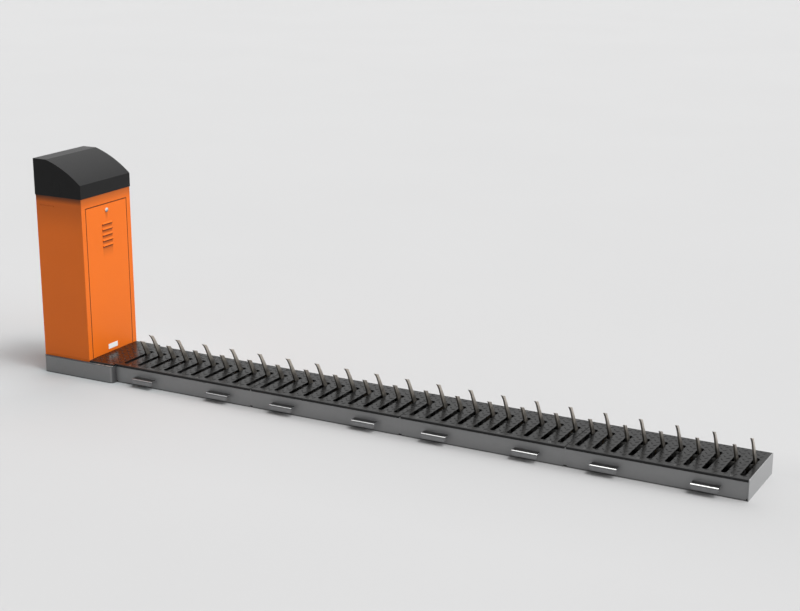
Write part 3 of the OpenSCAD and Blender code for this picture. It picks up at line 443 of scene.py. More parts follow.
@dataclass(frozen=True)
class Finish:
    """A painted, moulded or plain surface.

    Attributes:
        name: Name of the material.
        dark: Colour where the grain is low.
        light: Colour where the grain is high.
        metal: Metallic share.
        smooth: Roughness where the grain is low.
        rough: Roughness where the grain is high.
        grain: Grains per metre.
        stretch: How much each axis crowds the grain, for a brushed or drawn lay.
        depth: Height of the relief.
        edge: Radius of the softened edges.
        wear: Share of rubbed edges.
        bare: Colour of what shows where the edges are rubbed.
        dust: Share of settled dust.
        gloss: Strength of the mirror reflection, where 0.5 is that of common plastic.
        grime: Share of greasy road filth and painted shade on the hidden parts.
        grime_top: Height below which the filth and painted shade lie.
        grime_wall: Distance from the middle plane inside which they lie.
        grime_fade: Height over which they fade out above that.
        grime_tone: Colour of the filth and painted shade.
    """

    name: str
    dark: Colour
    light: Colour
    metal: float = 0.0
    smooth: float = 0.4
    rough: float = 0.55
    grain: float = 400.0
    stretch: Triple = (1.0, 1.0, 1.0)
    depth: float = 0.00005
    edge: float = 0.001
    wear: float = 0.0
    bare: Colour = grey(0.35)
    dust: float = 0.0
    gloss: float = 0.5
    grime: float = 0.0
    grime_top: float = 0.12
    grime_wall: float = 10.0
    grime_fade: float = 0.03
    grime_tone: Colour = (0.011, 0.010, 0.009)

    pattern_share: ClassVar[float] = 0.7
    broad_scale: ClassVar[float] = 3.0
    wear_spread: ClassVar[float] = 1.5
    wear_least: ClassVar[float] = 0.0008
    wear_scale: ClassVar[float] = 60.0
    worn_metal: ClassVar[float] = 0.8
    metallic: ClassVar[float] = 0.5
    dust_tone: ClassVar[Colour] = tone("a9a59c")
    dust_scale: ClassVar[float] = 9.0
    dust_low: ClassVar[float] = 0.07
    dust_dulls: ClassVar[float] = 0.5
    grime_dulls: ClassVar[float] = 0.3

    def pattern(self, graph: Graph) -> Socket:
        """Returns the value from 0 to 1 that colour, roughness and relief follow."""
        return Grain.use(graph, scale=self.grain, detail=4.0, stretch=self.stretch)

    def relief(self, graph: Graph, pattern: Socket) -> Socket:
        """Returns the height that the bump follows."""
        return pattern

    def trim(self, graph: Graph, colour: Socket, roughness: Socket) -> Look:
        """Returns the colour and the roughness, changed where a finish has its own marks."""
        return colour, roughness

    def build(self) -> bpy.types.Material:
        """Builds the material.

        Returns:
            The material, with its nodes.
        """
        known = bpy.data.materials.get(self.name)
        if known:
            return known
        material = bpy.data.materials.new(self.name)
        material.use_nodes = True
        graph = Graph(material.node_tree)
        pattern = self.pattern(graph)
        broad = Grain.use(graph, scale=self.broad_scale, detail=5.0)
        share = graph.weigh(pattern, broad, self.pattern_share)
        colour = graph.blend(share, self.dark, self.light)
        roughness = graph.ramp(share, 0.0, 1.0, self.smooth, self.rough)
        colour, roughness = self.trim(graph, colour, roughness)
        metal = self.metal
        if self.wear:
            radius = max(self.edge * self.wear_spread, self.wear_least)
            worn = EdgeWear.use(graph, radius=radius, amount=self.wear, scale=self.wear_scale)
            colour = graph.blend(worn, colour, self.bare)
            if self.metal < self.metallic:
                metal = graph.most(graph.times(worn, self.worn_metal), self.metal)
        if self.dust:
            dusty = SettledDust.use(
                graph, amount=self.dust, scale=self.dust_scale, low=self.dust_low)
            colour = graph.blend(dusty, colour, self.dust_tone)
            roughness = graph.lift(roughness, dusty, self.dust_dulls)
        # Greasy road filth and painted shade: darkens what lies under the covers, and the claws
        # towards their feet.
        if self.grime:
            hidden = HiddenGrime.use(
                graph, amount=self.grime, top=self.grime_top, fade=self.grime_fade,
                wall=self.grime_wall)
            colour = graph.blend(hidden, colour, self.grime_tone)
            metal = graph.times(graph.minus(1.0, hidden), metal)
            roughness = graph.lift(roughness, hidden, self.grime_dulls)
        shader = graph.add("ShaderNodeBsdfPrincipled", {
            "Base Color": colour,
            "Roughness": roughness,
            "Metallic": metal,
            "Specular IOR Level": self.gloss,
            "Normal": SoftEdge.use(
                graph, radius=self.edge, height=self.relief(graph, pattern), depth=self.depth),
        })
        graph.add("ShaderNodeOutputMaterial", {"Surface": shader.outputs[0]})
        return material

    def dress(self, *names: str) -> None:
        """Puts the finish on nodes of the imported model.

        Args:
            names: Names of the nodes.
        """
        material = self.build()
        for name in names:
            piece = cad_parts[name]
            if not piece.data.materials:
                piece.data.materials.append(material)
            for place in piece.material_slots:
                place.material = material
            log.info("%s has the finish %s", name, self.name)


@dataclass(frozen=True)
class ZincFinish(Finish):
    """Hot-dip galvanised sheet, with crystals that differ in shade and gloss.

    Attributes:
        spangle: Crystals per metre.
        splash: Share of the painted contact shadow along the ground.
        splash_edge: Heights at which the painted shadow ends and is full.
        splash_tone: Colour of the painted shadow.
    """

    metal: float = 0.45
    smooth: float = 0.36
    rough: float = 0.5
    grain: float = 700.0
    depth: float = 0.00003
    edge: float = 0.0015
    bare: Colour = (0.5, 0.5, 0.49)
    spangle: float = 55.0
    splash: float = 0.0
    splash_edge: tuple[float, float] = (0.0088, 0.0048)
    splash_tone: Colour = (0.04, 0.04, 0.041)

    warp: ClassVar[float] = 0.5
    crystal_share: ClassVar[float] = 0.8

    def pattern(self, graph: Graph) -> Socket:
        """Shade of the zinc crystals, with a little fine grain."""
        crystals = Spangle.use(graph, scale=self.spangle, warp=self.warp)
        return graph.weigh(crystals, Grain.use(graph, scale=self.grain), self.crystal_share)

    def trim(self, graph: Graph, colour: Socket, roughness: Socket) -> Look:
        """Paints a contact shadow along the foot of the sheet.

        Args:
            graph: Graph of the material.
            colour: Colour so far.
            roughness: Roughness so far.

        Returns:
            The new colour and roughness.
        """
        if not self.splash:
            return colour, roughness
        # Painted contact shadow where the sheet meets the ground.
        low, high = self.splash_edge
        foot = Along.use(graph, vector=graph.spot(), low=low, high=high)
        return graph.blend(graph.times(foot, self.splash), colour, self.splash_tone), roughness


@dataclass(frozen=True)
class LugFinish(ZincFinish):
    """Galvanised lug, with painted shade on its ledge and a painted highlight on its fold.

    The painted highlight grows with the square of the distance from the cabinet, and is faint
    next to it, where the fold would mirror the cabinet.

    Attributes:
        ledge: Colour of the painted shade on the ledge.
        fold: Colour of the painted highlight on the fold.
        under: Colour of the painted shade just under the fold.
        reach: Distance along X at which the painted highlight is full.
        polish: How much smoother the highlighted fold is.
    """

    # Painted shade on the ledge, painted highlight on the fold, painted shade under the fold.
    ledge: Colour = grey(0.02)
    fold: Colour = (0.95, 0.95, 0.93)
    under: Colour = (0.09, 0.09, 0.092)
    reach: float = 3.85
    polish: float = 0.15

    def trim(self, graph: Graph, colour: Socket, roughness: Socket) -> Look:
        """Paints shade on the ledge and on the strip under the fold, and paints a highlight on the
        fold and smooths it.

        Args:
            graph: Graph of the material.
            colour: Colour so far.
            roughness: Roughness so far.

        Returns:
            The new colour and roughness.
        """
        fold, ledge = Facing.FOLD.mask(graph), Facing.LEDGE.mask(graph)
        # Share of the painted highlight along the strip: the square of X over the reach.
        along = graph.over(graph.axes()[0], self.reach)
        rubbed = graph.times(along, along, clamp=True)
        # Painted shade just under the fold.
        shade = graph.times(Facing.UNDER_FOLD.mask(graph), graph.minus(1.0, fold))
        colour = graph.blend(shade, colour, self.under)
        # Painted highlight on the fold, and painted shade on the ledge.
        bright = graph.times(fold, rubbed, graph.minus(1.0, ledge))
        colour = graph.blend(ledge, graph.blend(bright, colour, self.fold), self.ledge)
        return colour, graph.lift(roughness, bright, -self.polish)


@dataclass(frozen=True)
class BaseFinish(ZincFinish):
    """Galvanised sheet with painted shade on the faces that turn to the front, where it meets the
    strip.

    Attributes:
        dull: Colour of the painted shade on the front.
        dulls: How much rougher the front is.
    """

    dull: Colour = (0.075, 0.075, 0.077)
    dulls: float = 0.2

    def trim(self, graph: Graph, colour: Socket, roughness: Socket) -> Look:
        """Paints shade on the front and the corners that turn into it, and roughens them.

        Args:
            graph: Graph of the material.
            colour: Colour so far.
            roughness: Roughness so far.

        Returns:
            The new colour and roughness.
        """
        colour, roughness = super().trim(graph, colour, roughness)
        # Painted shade on the faces turned towards +X.
        front = Facing.FRONT.mask(graph)
        return graph.blend(front, colour, self.dull), graph.lift(roughness, front, self.dulls)


@dataclass(frozen=True)
class LedgeFinish(ZincFinish):
    """Galvanised ledge, dark beside the cabinet, with a painted highlight where the tread plate
    lies in it.

    Attributes:
        start: X at which the painted highlight begins, and at which it is full.
        rubbed: Colour of the painted highlight.
        corner: The same for the brighter painted highlight on the base's corner.
        worn: Colour of the painted highlight on the corner.
        patches: Patches per metre of the noise that breaks up the painted highlight.
        gaps: Bounds of that noise.
    """

    start: tuple[float, float] = (-0.145, -0.135)
    rubbed: Colour = (0.36, 0.335, 0.31)
    corner: tuple[float, float] = (-0.006, -0.002)
    worn: Colour = (0.85, 0.8, 0.74)
    patches: float = 45.0
    gaps: tuple[float, float] = (0.25, 0.6)

    def trim(self, graph: Graph, colour: Socket, roughness: Socket) -> Look:
        """Paints a highlight on the upper face beside the tread plate, and on its corner most of
        all.

        Args:
            graph: Graph of the material.
            colour: Colour so far.
            roughness: Roughness so far.

        Returns:
            The new colour and roughness.
        """
        flat, spot = Facing.LEDGE.mask(graph), graph.spot()
        # Painted highlight beside the tread plate and on the base's corner.
        beside, worn = [
            graph.times(flat, Along.use(graph, vector=spot, towards=AHEAD, low=low, high=high))
            for low, high in (self.start, self.corner)]
        broken = graph.ramp(Grain.use(graph, scale=self.patches), *self.gaps)
        colour = graph.blend(graph.times(beside, broken), colour, self.rubbed)
        return graph.blend(worn, colour, self.worn), roughness


@dataclass(frozen=True)
class PeelFinish(Finish):
    """Powder coat or injection-moulded skin: an even colour on a finely rippled surface.

    Attributes:
        peel: Ripples per metre.
    """

    peel: float = 260.0

    ripple_share: ClassVar[float] = 0.8

    def relief(self, graph: Graph, pattern: Socket) -> Socket:
        """Low ripples of the coat, crossed with the fine grain."""
        ripple = Grain.use(graph, scale=self.peel, detail=1.0)
        return graph.weigh(ripple, pattern, self.ripple_share)


@dataclass(frozen=True)
class OrangeFinish(PeelFinish):
    """Orange powder coat."""

    smooth: float = 0.36
    rough: float = 0.46
    grain: float = 900.0
    depth: float = 0.00003
    edge: float = 0.0014
    wear: float = 0.1
    bare: Colour = (0.30, 0.14, 0.06)
    gloss: float = 0.2
    peel: float = 300.0


@dataclass(frozen=True)
class CabinetFinish(OrangeFinish):
    """Orange coat with painted shade under the hood's rim.

    Attributes:
        rim: Height of the rim.
        run: Height over which the painted shade fades.
        film: Share of the painted shade.
        band: Share of the darker painted shadow just under the rim.
        band_run: Height over which that painted shadow fades.
        dirt: Colour of the painted shade and shadow.
    """

    rim: float = 1.1365
    run: float = 0.085
    film: float = 0.5
    band: float = 0.0
    band_run: float = 0.065
    dirt: Colour = (0.12, 0.04, 0.012)

    def trim(self, graph: Graph, colour: Socket, roughness: Socket) -> Look:
        """Paints the shade under the rim over the coat.

        Args:
            graph: Graph of the material.
            colour: Colour so far.
            roughness: Roughness so far.

        Returns:
            The new colour and roughness.
        """
        # Painted shade of the hood's overhang, and a darker painted shadow just under the rim.
        layers = []
        for run, share in ((self.run, self.film), (self.band_run, self.band)):
            if share:
                near = Along.use(graph, vector=graph.spot(), low=self.rim - run, high=self.rim)
                layers.append(graph.times(near, share))
        return graph.blend(graph.most(*layers), colour, self.dirt), roughness


@dataclass(frozen=True)
class DoorFinish(OrangeFinish):
    """Orange coat of the door, with painted shadow under its louvres and below its lock, and
    painted shade along its edges.

    A fade holds the distance at which the painted shade is full, the one at which it ends, and its
    share.

    Attributes:
        lip: Height of the first louvre's lip.
        pitch: Distance between louvres.
        count: Number of louvres.
        ends: Distance from the door's middle at which a louvre's painted shadow begins to end, and
            ends.
        short_fade: Painted shadow just below each lip.
        long_fade: Painted shade down to the next lip.
        last_fade: Painted shade far below the last lip.
        lock: Height of the lock's lower edge.
        grease_ends: Distance from the door's middle at which the lock's painted shadow begins to
            end, and ends.
        grease_fade: Painted shadow below the lock.
        side: Half the width of the door.
        top: Height of the door's top edge.
        edge_fade: Painted shade inside the door's edges.
        soot: Colour of the painted shadow and shade.
    """

    lip: float = 0.9455
    pitch: float = 0.035
    count: int = 5
    ends: tuple[float, float] = (0.047, 0.05)
    short_fade: Triple = (0.0065, 0.0125, 0.9)
    long_fade: Triple = (0.006, 0.034, 0.45)
    last_fade: Triple = (0.006, 0.08, 0.24)
    lock: float = 1.019
    grease_ends: tuple[float, float] = (0.0048, 0.016)
    grease_fade: Triple = (0.0, 0.06, 0.35)
    side: float = 0.198
    top: float = 1.07
    edge_fade: Triple = (0.0021, 0.0035, 0.8)
    soot: Colour = (0.06, 0.012, 0.003)

    def louvres(self, graph: Graph, aside: Socket, height: Socket) -> Socket:
        """Works out the painted shadow under the louvres by the distance below the nearest lip
        above.

        Args:
            graph: Graph of the material.
            aside: Distance from the door's middle.
            height: Height above the ground.

        Returns:
            Mask of the painted shadow.
        """
        down = graph.minus(self.lip, height)
        below = graph.math("MODULO", down, self.pitch)
        last = self.pitch * (self.count - 1)
        strips = graph.times(
            graph.most(graph.fall(below, *self.short_fade), graph.fall(below, *self.long_fade)),
            graph.math("GREATER_THAN", down, 0.0),
            graph.math("LESS_THAN", down, last + self.pitch))
        past = graph.minus(down, last)
        run = graph.times(graph.fall(past, *self.last_fade), graph.math("GREATER_THAN", past, 0.0))
        return graph.times(graph.most(strips, run), graph.fall(aside, *self.ends))

    def trim(self, graph: Graph, colour: Socket, roughness: Socket) -> Look:
        """Paints the shadow under the louvres and below the lock, and the shade along the edges,
        over the coat.

        Args:
            graph: Graph of the material.
            colour: Colour so far.
            roughness: Roughness so far.

        Returns:
            The new colour and roughness.
        """
        _, y, height = graph.axes()
        aside = graph.size(y)
        down = graph.minus(self.lock, height)
        # Painted shadow of the lock, below it.
        grease = graph.times(
            graph.fall(down, *self.grease_fade), graph.fall(aside, *self.grease_ends),
            graph.math("GREATER_THAN", down, 0.0))
        # Painted shade in the gap along the door's edges.
        inside = graph.math("MINIMUM", graph.minus(self.side, aside), graph.minus(self.top, height))
        line = graph.fall(inside, *self.edge_fade)
        dark = graph.most(self.louvres(graph, aside, height), grease, line)
        return graph.blend(dark, colour, self.soot), roughness


@dataclass(frozen=True)
class LockFinish(Finish):
    """Chrome of a small round lock, with a painted reflection: bright towards the lamp and painted
    shade on the other side.

    Attributes:
        centre: Middle of the lock.
        lit: Direction of the painted highlight.
        span: Distances from the middle along that direction where the painted shade is full and
            where the highlight is.
        dull: Colour of the painted shade.
    """

    centre: Triple = (-0.18, 0.0, 1.0305)
    lit: Triple = (0.0, -0.25, 0.97)
    span: tuple[float, float] = (-0.0117, 0.0091)
    dull: Colour = (0.2, 0.2, 0.21)

    def trim(self, graph: Graph, colour: Socket, roughness: Socket) -> Look:
        """Paints shade on the side away from the lamp.

        Args:
            graph: Graph of the material.
            colour: Colour so far.
            roughness: Roughness so far.

        Returns:
            The new colour and roughness.
        """
        # Painted reflection: highlight towards the lamp, shade on the other side.
        away = graph.vector("SUBTRACT", graph.spot(), self.centre)
        low, high = self.span
        sheen = Along.use(graph, vector=away, towards=self.lit, low=low, high=high)
        return graph.blend(sheen, self.dull, colour), roughness


@dataclass(frozen=True)
class CoverFinish(PeelFinish):
    """Black coat of the chequer plates, with grime where two covers meet.

    Attributes:
        pitch: Distance between the places where covers meet, or 0 for a plate that stands alone.
        seam: Distances from such a place at which the grime is full, and ends.
        seam_tone: Colour of the grime.
        seam_dulls: How much rougher the grime is.
    """

    pitch: float = 0.0
    seam: tuple[float, float] = (0.0027, 0.0045)
    seam_tone: Colour = grey(0.0008)
    seam_dulls: float = 0.5

    def trim(self, graph: Graph, colour: Socket, roughness: Socket) -> Look:
        """Dulls and darkens the ends of the covers, by their distance from a whole pitch.

        Args:
            graph: Graph of the material.
            colour: Colour so far.
            roughness: Roughness so far.

        Returns:
            The new colour and roughness.
        """
        if not self.pitch:
            return colour, roughness
        along = graph.over(graph.axes()[0], self.pitch)
        off = graph.times(graph.minus(along, graph.math("ROUND", along)), self.pitch)
        seam = graph.fall(graph.size(off), *self.seam)
        return (graph.blend(seam, colour, self.seam_tone),
                graph.lift(roughness, seam, self.seam_dulls))


GALVANISED = ZincFinish(
    "galvanised_sheet", (0.185, 0.187, 0.19), (0.235, 0.237, 0.24), wear=0.35, dust=0.05)
GALVANISED_BASE = BaseFinish(
    "galvanised_base", (0.212, 0.213, 0.214), (0.241, 0.242, 0.243), wear=0.3, dust=0.03,
    splash=0.5)
# Dark floor plate of the base: a painted contact shadow along the ground.
GALVANISED_FOOT = ZincFinish(
    "galvanised_floor_plate", (0.045, 0.046, 0.048), (0.07, 0.071, 0.073), metal=0.3,
    smooth=0.45, rough=0.6, edge=0.001)
GALVANISED_LEDGE = LedgeFinish(
    "galvanised_ledge", (0.06, 0.08, 0.088), (0.08, 0.1, 0.11), metal=0.3, smooth=0.4,
    rough=0.55, edge=0.0012, dust=0.04)
# Greasy road filth and painted shade inside the tray, and a painted contact shadow at its foot.
GALVANISED_TRAY = ZincFinish(
    "galvanised_tray", (0.236, 0.237, 0.239), (0.264, 0.265, 0.267), wear=0.35, dust=0.02,
    grime=0.95, grime_wall=0.2105, splash=0.6)
# Ribs darker than the other sheet, under filth and painted shade, so that the recess under the
# covers reads dark.
GALVANISED_RIB = ZincFinish(
    "galvanised_ribs", (0.15, 0.152, 0.155), (0.2, 0.202, 0.205), metal=0.4, smooth=0.4,
    rough=0.55, edge=0.001, grime=0.9)
# Lighter than the tray's sheet: painted light on the end plate, which faces the key lamp.
GALVANISED_END = ZincFinish(
    "galvanised_end_plate", (0.29, 0.292, 0.295), (0.356, 0.358, 0.362), metal=0.4, smooth=0.34,
    rough=0.48, wear=0.3, bare=(0.6, 0.6, 0.59), dust=0.05)
GALVANISED_LUG = LugFinish(
    "galvanised_lugs", (0.2, 0.202, 0.205), (0.25, 0.252, 0.256), metal=0.5, smooth=0.28,
    rough=0.4, depth=0.00002, edge=0.0005)
WELD = ZincFinish(
    "zinc_primed_weld", (0.06, 0.06, 0.061), (0.11, 0.11, 0.112), metal=0.4, smooth=0.4,
    rough=0.55, grain=900.0, depth=0.00004, edge=0.0004)
CHEQUER = CoverFinish(
    "black_chequer_coat", grey(0.0025), grey(0.005), smooth=0.23, rough=0.31, grain=900.0,
    depth=0.00002, edge=0.0008, wear=0.2, bare=grey(0.07), dust=0.004, gloss=0.25, peel=420.0,
    pitch=1.0)
CHEQUER_BASE = replace(
    CHEQUER, name="black_chequer_base", smooth=0.2, rough=0.28, dust=0.005, gloss=0.3, pitch=0.0)
CHEQUER_TEAR = replace(
    CHEQUER_BASE, name="black_chequer_tears", dark=(0.019, 0.019, 0.0195),
    light=(0.029, 0.029, 0.0295), smooth=0.3, rough=0.4, edge=0.0004, wear=0.25,
    bare=(0.09, 0.09, 0.085), dust=0.004, gloss=0.03)
BRIGHT_STEEL = Finish(
    "turned_shaft_steel", (0.42, 0.42, 0.41), (0.62, 0.62, 0.6), metal=1.0, smooth=0.2,
    rough=0.36, grain=60.0, stretch=(40.0, 1.0, 1.0), depth=0.00001, edge=0.0008)
# Shaft under filth and painted shade, as it lies in the dark under the covers.
GREASED_SHAFT = replace(
    BRIGHT_STEEL, name="greased_claw_shaft", dark=(0.3, 0.3, 0.29), light=(0.45, 0.45, 0.43),
    smooth=0.3, rough=0.45, grime=0.8)
# Claws darker towards their feet: filth and painted shade under the covers, and above them a
# painted reflection of the black cover.
CLAW_STEEL = Finish(
    "cut_claw_steel", (0.44, 0.397, 0.345), (0.55, 0.5, 0.435), metal=0.9, smooth=0.24,
    rough=0.34, grain=90.0, stretch=(1.0, 2.0, 18.0), depth=0.00001, edge=0.0008, wear=0.2,
    bare=(0.75, 0.7, 0.63), grime=0.98, grime_top=0.14, grime_fade=0.115,
    grime_tone=(0.022, 0.0195, 0.016))
# Bushings under filth and painted shade, as they lie in the dark under the covers.
BRONZE = Finish(
    "bushing_bronze", (0.26, 0.17, 0.08), (0.42, 0.28, 0.13), metal=1.0, smooth=0.3,
    rough=0.46, grain=120.0, stretch=(20.0, 1.0, 1.0), depth=0.00001, edge=0.0006, grime=0.9)
DARK_STEEL = Finish(
    "phosphated_steel", (0.035, 0.036, 0.038), (0.085, 0.086, 0.09), metal=0.7, smooth=0.38,
    rough=0.6, grain=300.0, depth=0.00003, wear=0.6, bare=(0.45, 0.45, 0.44))
FASTENERS = Finish(
    "zinc_plated_fasteners", (0.48, 0.48, 0.47), (0.68, 0.68, 0.66), metal=0.95, smooth=0.2,
    rough=0.36, grain=500.0, depth=0.00001, edge=0.0006, wear=0.3, bare=(0.8, 0.8, 0.79))
COVER_SCREWS = Finish(
    "dulled_zinc_screws", grey(0.05), (0.12, 0.12, 0.117), metal=0.9, smooth=0.3, rough=0.5,
    grain=500.0, depth=0.00002, edge=0.0005, wear=0.5, bare=(0.5, 0.5, 0.49))
MACHINE_PAINT = PeelFinish(
    "machine_enamel", (0.095, 0.13, 0.155), (0.14, 0.18, 0.21), smooth=0.3, rough=0.45,
    grain=500.0, depth=0.00006, edge=0.0015, wear=0.5, bare=(0.4, 0.4, 0.39), dust=0.2)
BRACKET_PAINT = replace(
    MACHINE_PAINT, name="bracket_enamel", dark=(0.22, 0.225, 0.23), light=(0.32, 0.325, 0.33),
    smooth=0.34, rough=0.5, wear=0.4, bare=(0.45, 0.45, 0.44))
BLACK_PLASTIC = PeelFinish(
    "black_moulding", (0.012, 0.012, 0.013), (0.028, 0.028, 0.03), rough=0.6, grain=1200.0,
    depth=0.00004, peel=900.0)
RUBBER = PeelFinish(
    "door_seal_rubber", grey(0.004), grey(0.01), smooth=0.6, rough=0.8, grain=1500.0,
    depth=0.00003, edge=0.0003, gloss=0.2, peel=1200.0)
ORANGE = CabinetFinish("orange_powder_coat", (0.81, 0.16, 0.0105), (0.87, 0.178, 0.0135))
# The sides' copy of the orange coat: a longer painted shade and a dark painted shadow under the
# rim.
ORANGE_SIDE = replace(
    ORANGE, name="orange_side_coat", run=0.26, film=0.32, band=0.9, dirt=(0.08, 0.026, 0.009))
# A touch lighter than the cabinet's orange: painted light on the door.
ORANGE_DOOR = DoorFinish("orange_door_coat", (0.82, 0.162, 0.0105), (0.88, 0.18, 0.0135))
HOOD_BLACK = PeelFinish(
    "hood_moulding", (0.012, 0.012, 0.0122), (0.0155, 0.0155, 0.0158), smooth=0.28, rough=0.38,
    grain=1100.0, depth=0.00004, edge=0.003, dust=0.003, gloss=0.1, peel=700.0)
LABEL = PeelFinish(
    "label_film", tone("f6f6f5"), tone("fdfdfc"), smooth=0.25, rough=0.35, grain=600.0,
    depth=0.00001, edge=0.0006, gloss=0.3)
CHROME = LockFinish(
    "polished_lock", grey(0.9), grey(0.98), metal=0.7, smooth=0.1, rough=0.2, grain=300.0,
    depth=0.000005, edge=0.0008)
ENCLOSURE = PeelFinish(
    "enclosure_moulding", tone("b9bbb9"), tone("c9cbc9"), rough=0.52, grain=900.0,
    depth=0.00004, edge=0.002, dust=0.15, peel=600.0)


def show(thing: bpy.types.Object) -> None:
    """Puts an object into the scene."""
    bpy.context.scene.collection.objects.link(thing)


def make_piece(
    name: str, points: np.ndarray, faces: list[list[int]], finish: Finish, slot: Slot,
) -> None:
    """Makes a smooth mesh of points and faces, at the origin, which rides on the fixed body.

    Args:
        name: Name of the piece.
        points: Array of points, in the model's frame.
        faces: Rows of point numbers.
        finish: Finish of the piece.
        slot: Material slot of the record meant for the piece; not used.
    """
    mesh = bpy.data.meshes.new(name)
    mesh.from_pydata(points.tolist(), [], faces)
    mesh.validate()
    mesh.shade_smooth()
    mesh.materials.append(finish.build())
    piece = bpy.data.objects.new(name, mesh)
    show(piece)
    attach(piece, FIXED_BODY)
    log.info("%s made with %d faces", name, len(faces))


def tube_faces(rings: int, around: int, capped: bool = True, flip: bool = False) -> list[list[int]]:
    """Numbers the corners of the faces of a tube of rings.

    Ring i holds points i times around up to the next ring, and each face joins neighbours of two
    rings.

    Args:
        rings: Number of rings.
        around: Points in each ring.
        capped: Whether one face closes each end.
        flip: Whether the faces are numbered the other way round.

    Returns:
        Lists of point numbers.
    """
    i, j = np.arange(rings - 1)[:, None], np.arange(around)[None, :]
    beside = (j + 1) % around
    corners = [i * around + j, (i + 1) * around + j, (i + 1) * around + beside, i * around + beside]
    faces = np.stack([c.reshape(-1) for c in corners], axis=1).tolist()
    if capped:
        last = (rings - 1) * around
        faces += [list(range(around))[::-1], list(range(last, last + around))]
    return [face[::-1] for face in faces] if flip else faces


def repeat_faces(faces: list[list[int]], copies: int, points: int) -> list[list[int]]:
    """Returns the faces of copies of a form, where each has so many points after the last."""
    return [[points * k + n for n in face] for k in range(copies) for face in faces]


@dataclass
class ChequerTread:
    """Raised tears of one chequer plate.

    Attributes:
        name: Name of the piece.
        low: Lower X and Y of the flat top.
        high: Upper X and Y of the flat top.
        top: Height of the plate's top face.
        screws: X and Y of the screws.
        slots: X of the claw slots' middles.
        slot_run: Lower and upper end of a slot, in Y.
        slot_half: Half the width of a slot.
        length: Length of a tear.
        width: Greatest width of a tear.
        rise: Height of a tear over the plate.
        slant: Angle between a tear and X, to one side or the other.
        column: Distance between the columns of one lean.
        row: Distance between the rows of one lean.
        screw_room: Least distance of a tear's middle from a screw.
        margin: Least distance of a tear's middle from the plate's edge.
        slot_air: Air between a slot and the tears that it cuts.
    """

    name: str
    low: tuple[float, float]
    high: tuple[float, float]
    top: float
    screws: np.ndarray
    slots: np.ndarray = field(default_factory=lambda: np.zeros(0))
    slot_run: tuple[float, float] = (0.0, 0.0)
    slot_half: float = 0.015
    length: float = 0.029
    width: float = 0.009
    rise: float = 0.0015
    slant: float = math.atan2(1.2, 1.0)
    column: float = 0.05
    row: float = 0.051
    screw_room: float = 0.018
    margin: float = 0.006
    slot_air: float = 0.0003

    rows: ClassVar[tuple[int, int]] = (-1, 10)
    first: ClassVar[dict[Lean, tuple[float, float]]] = {
        Lean.LEFT: (0.040, -0.207), Lean.RIGHT: (0.015, -0.177)}
    stations: ClassVar[np.ndarray] = np.linspace(-0.82, 0.82, 5)
    across: ClassVar[np.ndarray] = np.array([-1.0, -0.62, 0.0, 0.62, 1.0])
    profile: ClassVar[np.ndarray] = np.array([-0.2, 0.8, 1.0, 0.8, -0.2])

    def outline(self) -> tuple[np.ndarray, list[list[int]]]:
        """Works out one tear as a closed lens along X.

        The half width at u from -1 to 1 is the greatest half width times the power 0.8 of
        1 - u squared, and five points cross it: both feet just under the plate, both shoulders
        and the crown. The rise falls off towards the tips as the root of 1 - u squared, and the
        tips lie a tenth of the rise under the plate.

        Returns:
            Points of one tear and its faces.
        """
        u, n = self.stations, len(self.across)
        half = self.width / 2 * (1 - u ** 2) ** 0.8
        high = self.rise * np.sqrt(1 - u ** 2)
        x = np.repeat(u * self.length / 2, n)
        y = (half[:, None] * self.across).reshape(-1)
        z = (high[:, None] * self.profile).reshape(-1)
        tips = np.array([[side * self.length / 2, 0, -0.1 * self.rise] for side in (-1, 1)])
        ends, last = len(u) * n, (len(u) - 1) * n
        faces = tube_faces(len(u), n, capped=False)
        faces += [[ends, j, (j + 1) % n] for j in range(n)]
        faces += [[ends + 1, last + (j + 1) % n, last + j] for j in range(n)]
        return np.concatenate([np.stack([x, y, z], axis=1), tips]), faces

    def centres(self, lean: Lean) -> np.ndarray:
        """Lists the middles of the tears that lean one way.

        Columns stand 50 mm apart and rows 51 mm apart. The two leans take turns every 25 mm in X
        and about half a row in Y. Tears too near a screw or the plate's edge are left out.

        Args:
            lean: The way in which the tears lean.

        Returns:
            Array of X and Y.
        """
        first = self.first[lean]
        start = math.floor((self.low[0] - first[0]) / self.column)
        stop = math.ceil((self.high[0] - first[0]) / self.column)
        x = first[0] + self.column * np.arange(start, stop + 1)
        y = first[1] + self.row * np.arange(*self.rows)
        spots = np.stack(np.meshgrid(x, y, indexing="ij"), axis=-1).reshape(-1, 2)
        low, high = np.array(self.low) + self.margin, np.array(self.high) - self.margin
        spots = spots[np.all((spots > low) & (spots < high), axis=1)]
        gaps = np.linalg.norm(spots[:, None, :] - self.screws[None, :, :], axis=2)
        return spots[gaps.min(axis=1) > self.screw_room]

    def clear_slots(self, points: np.ndarray, middle: np.ndarray) -> np.ndarray:
        """Moves the points that stand over a slot to its edge.

        The slot's half width at Y is its radius along the straight run, and the root of the
        radius squared less the distance past the run squared over its round ends.

        Args:
            points: Points of all tears.
            middle: X of the tear that each point belongs to.

        Returns:
            The points, clear of the slots.
        """
        if not len(self.slots):
            return points
        nearest = self.slots[np.abs(middle[:, None] - self.slots[None, :]).argmin(axis=1)]
        past = np.maximum(self.slot_run[0] + self.slot_half - points[:, 1], 0)
        past = np.maximum(past, points[:, 1] - (self.slot_run[1] - self.slot_half))
        half = np.sqrt(np.maximum(self.slot_half ** 2 - past ** 2, 0))
        edge = half + np.where(half > 0, self.slot_air, 0.0)
        side = np.where(middle < nearest, -1.0, 1.0)
        gap = (points[:, 0] - nearest) * side
        points[:, 0] = np.where((gap < edge) & (half > 0), nearest + side * edge, points[:, 0])
        return points

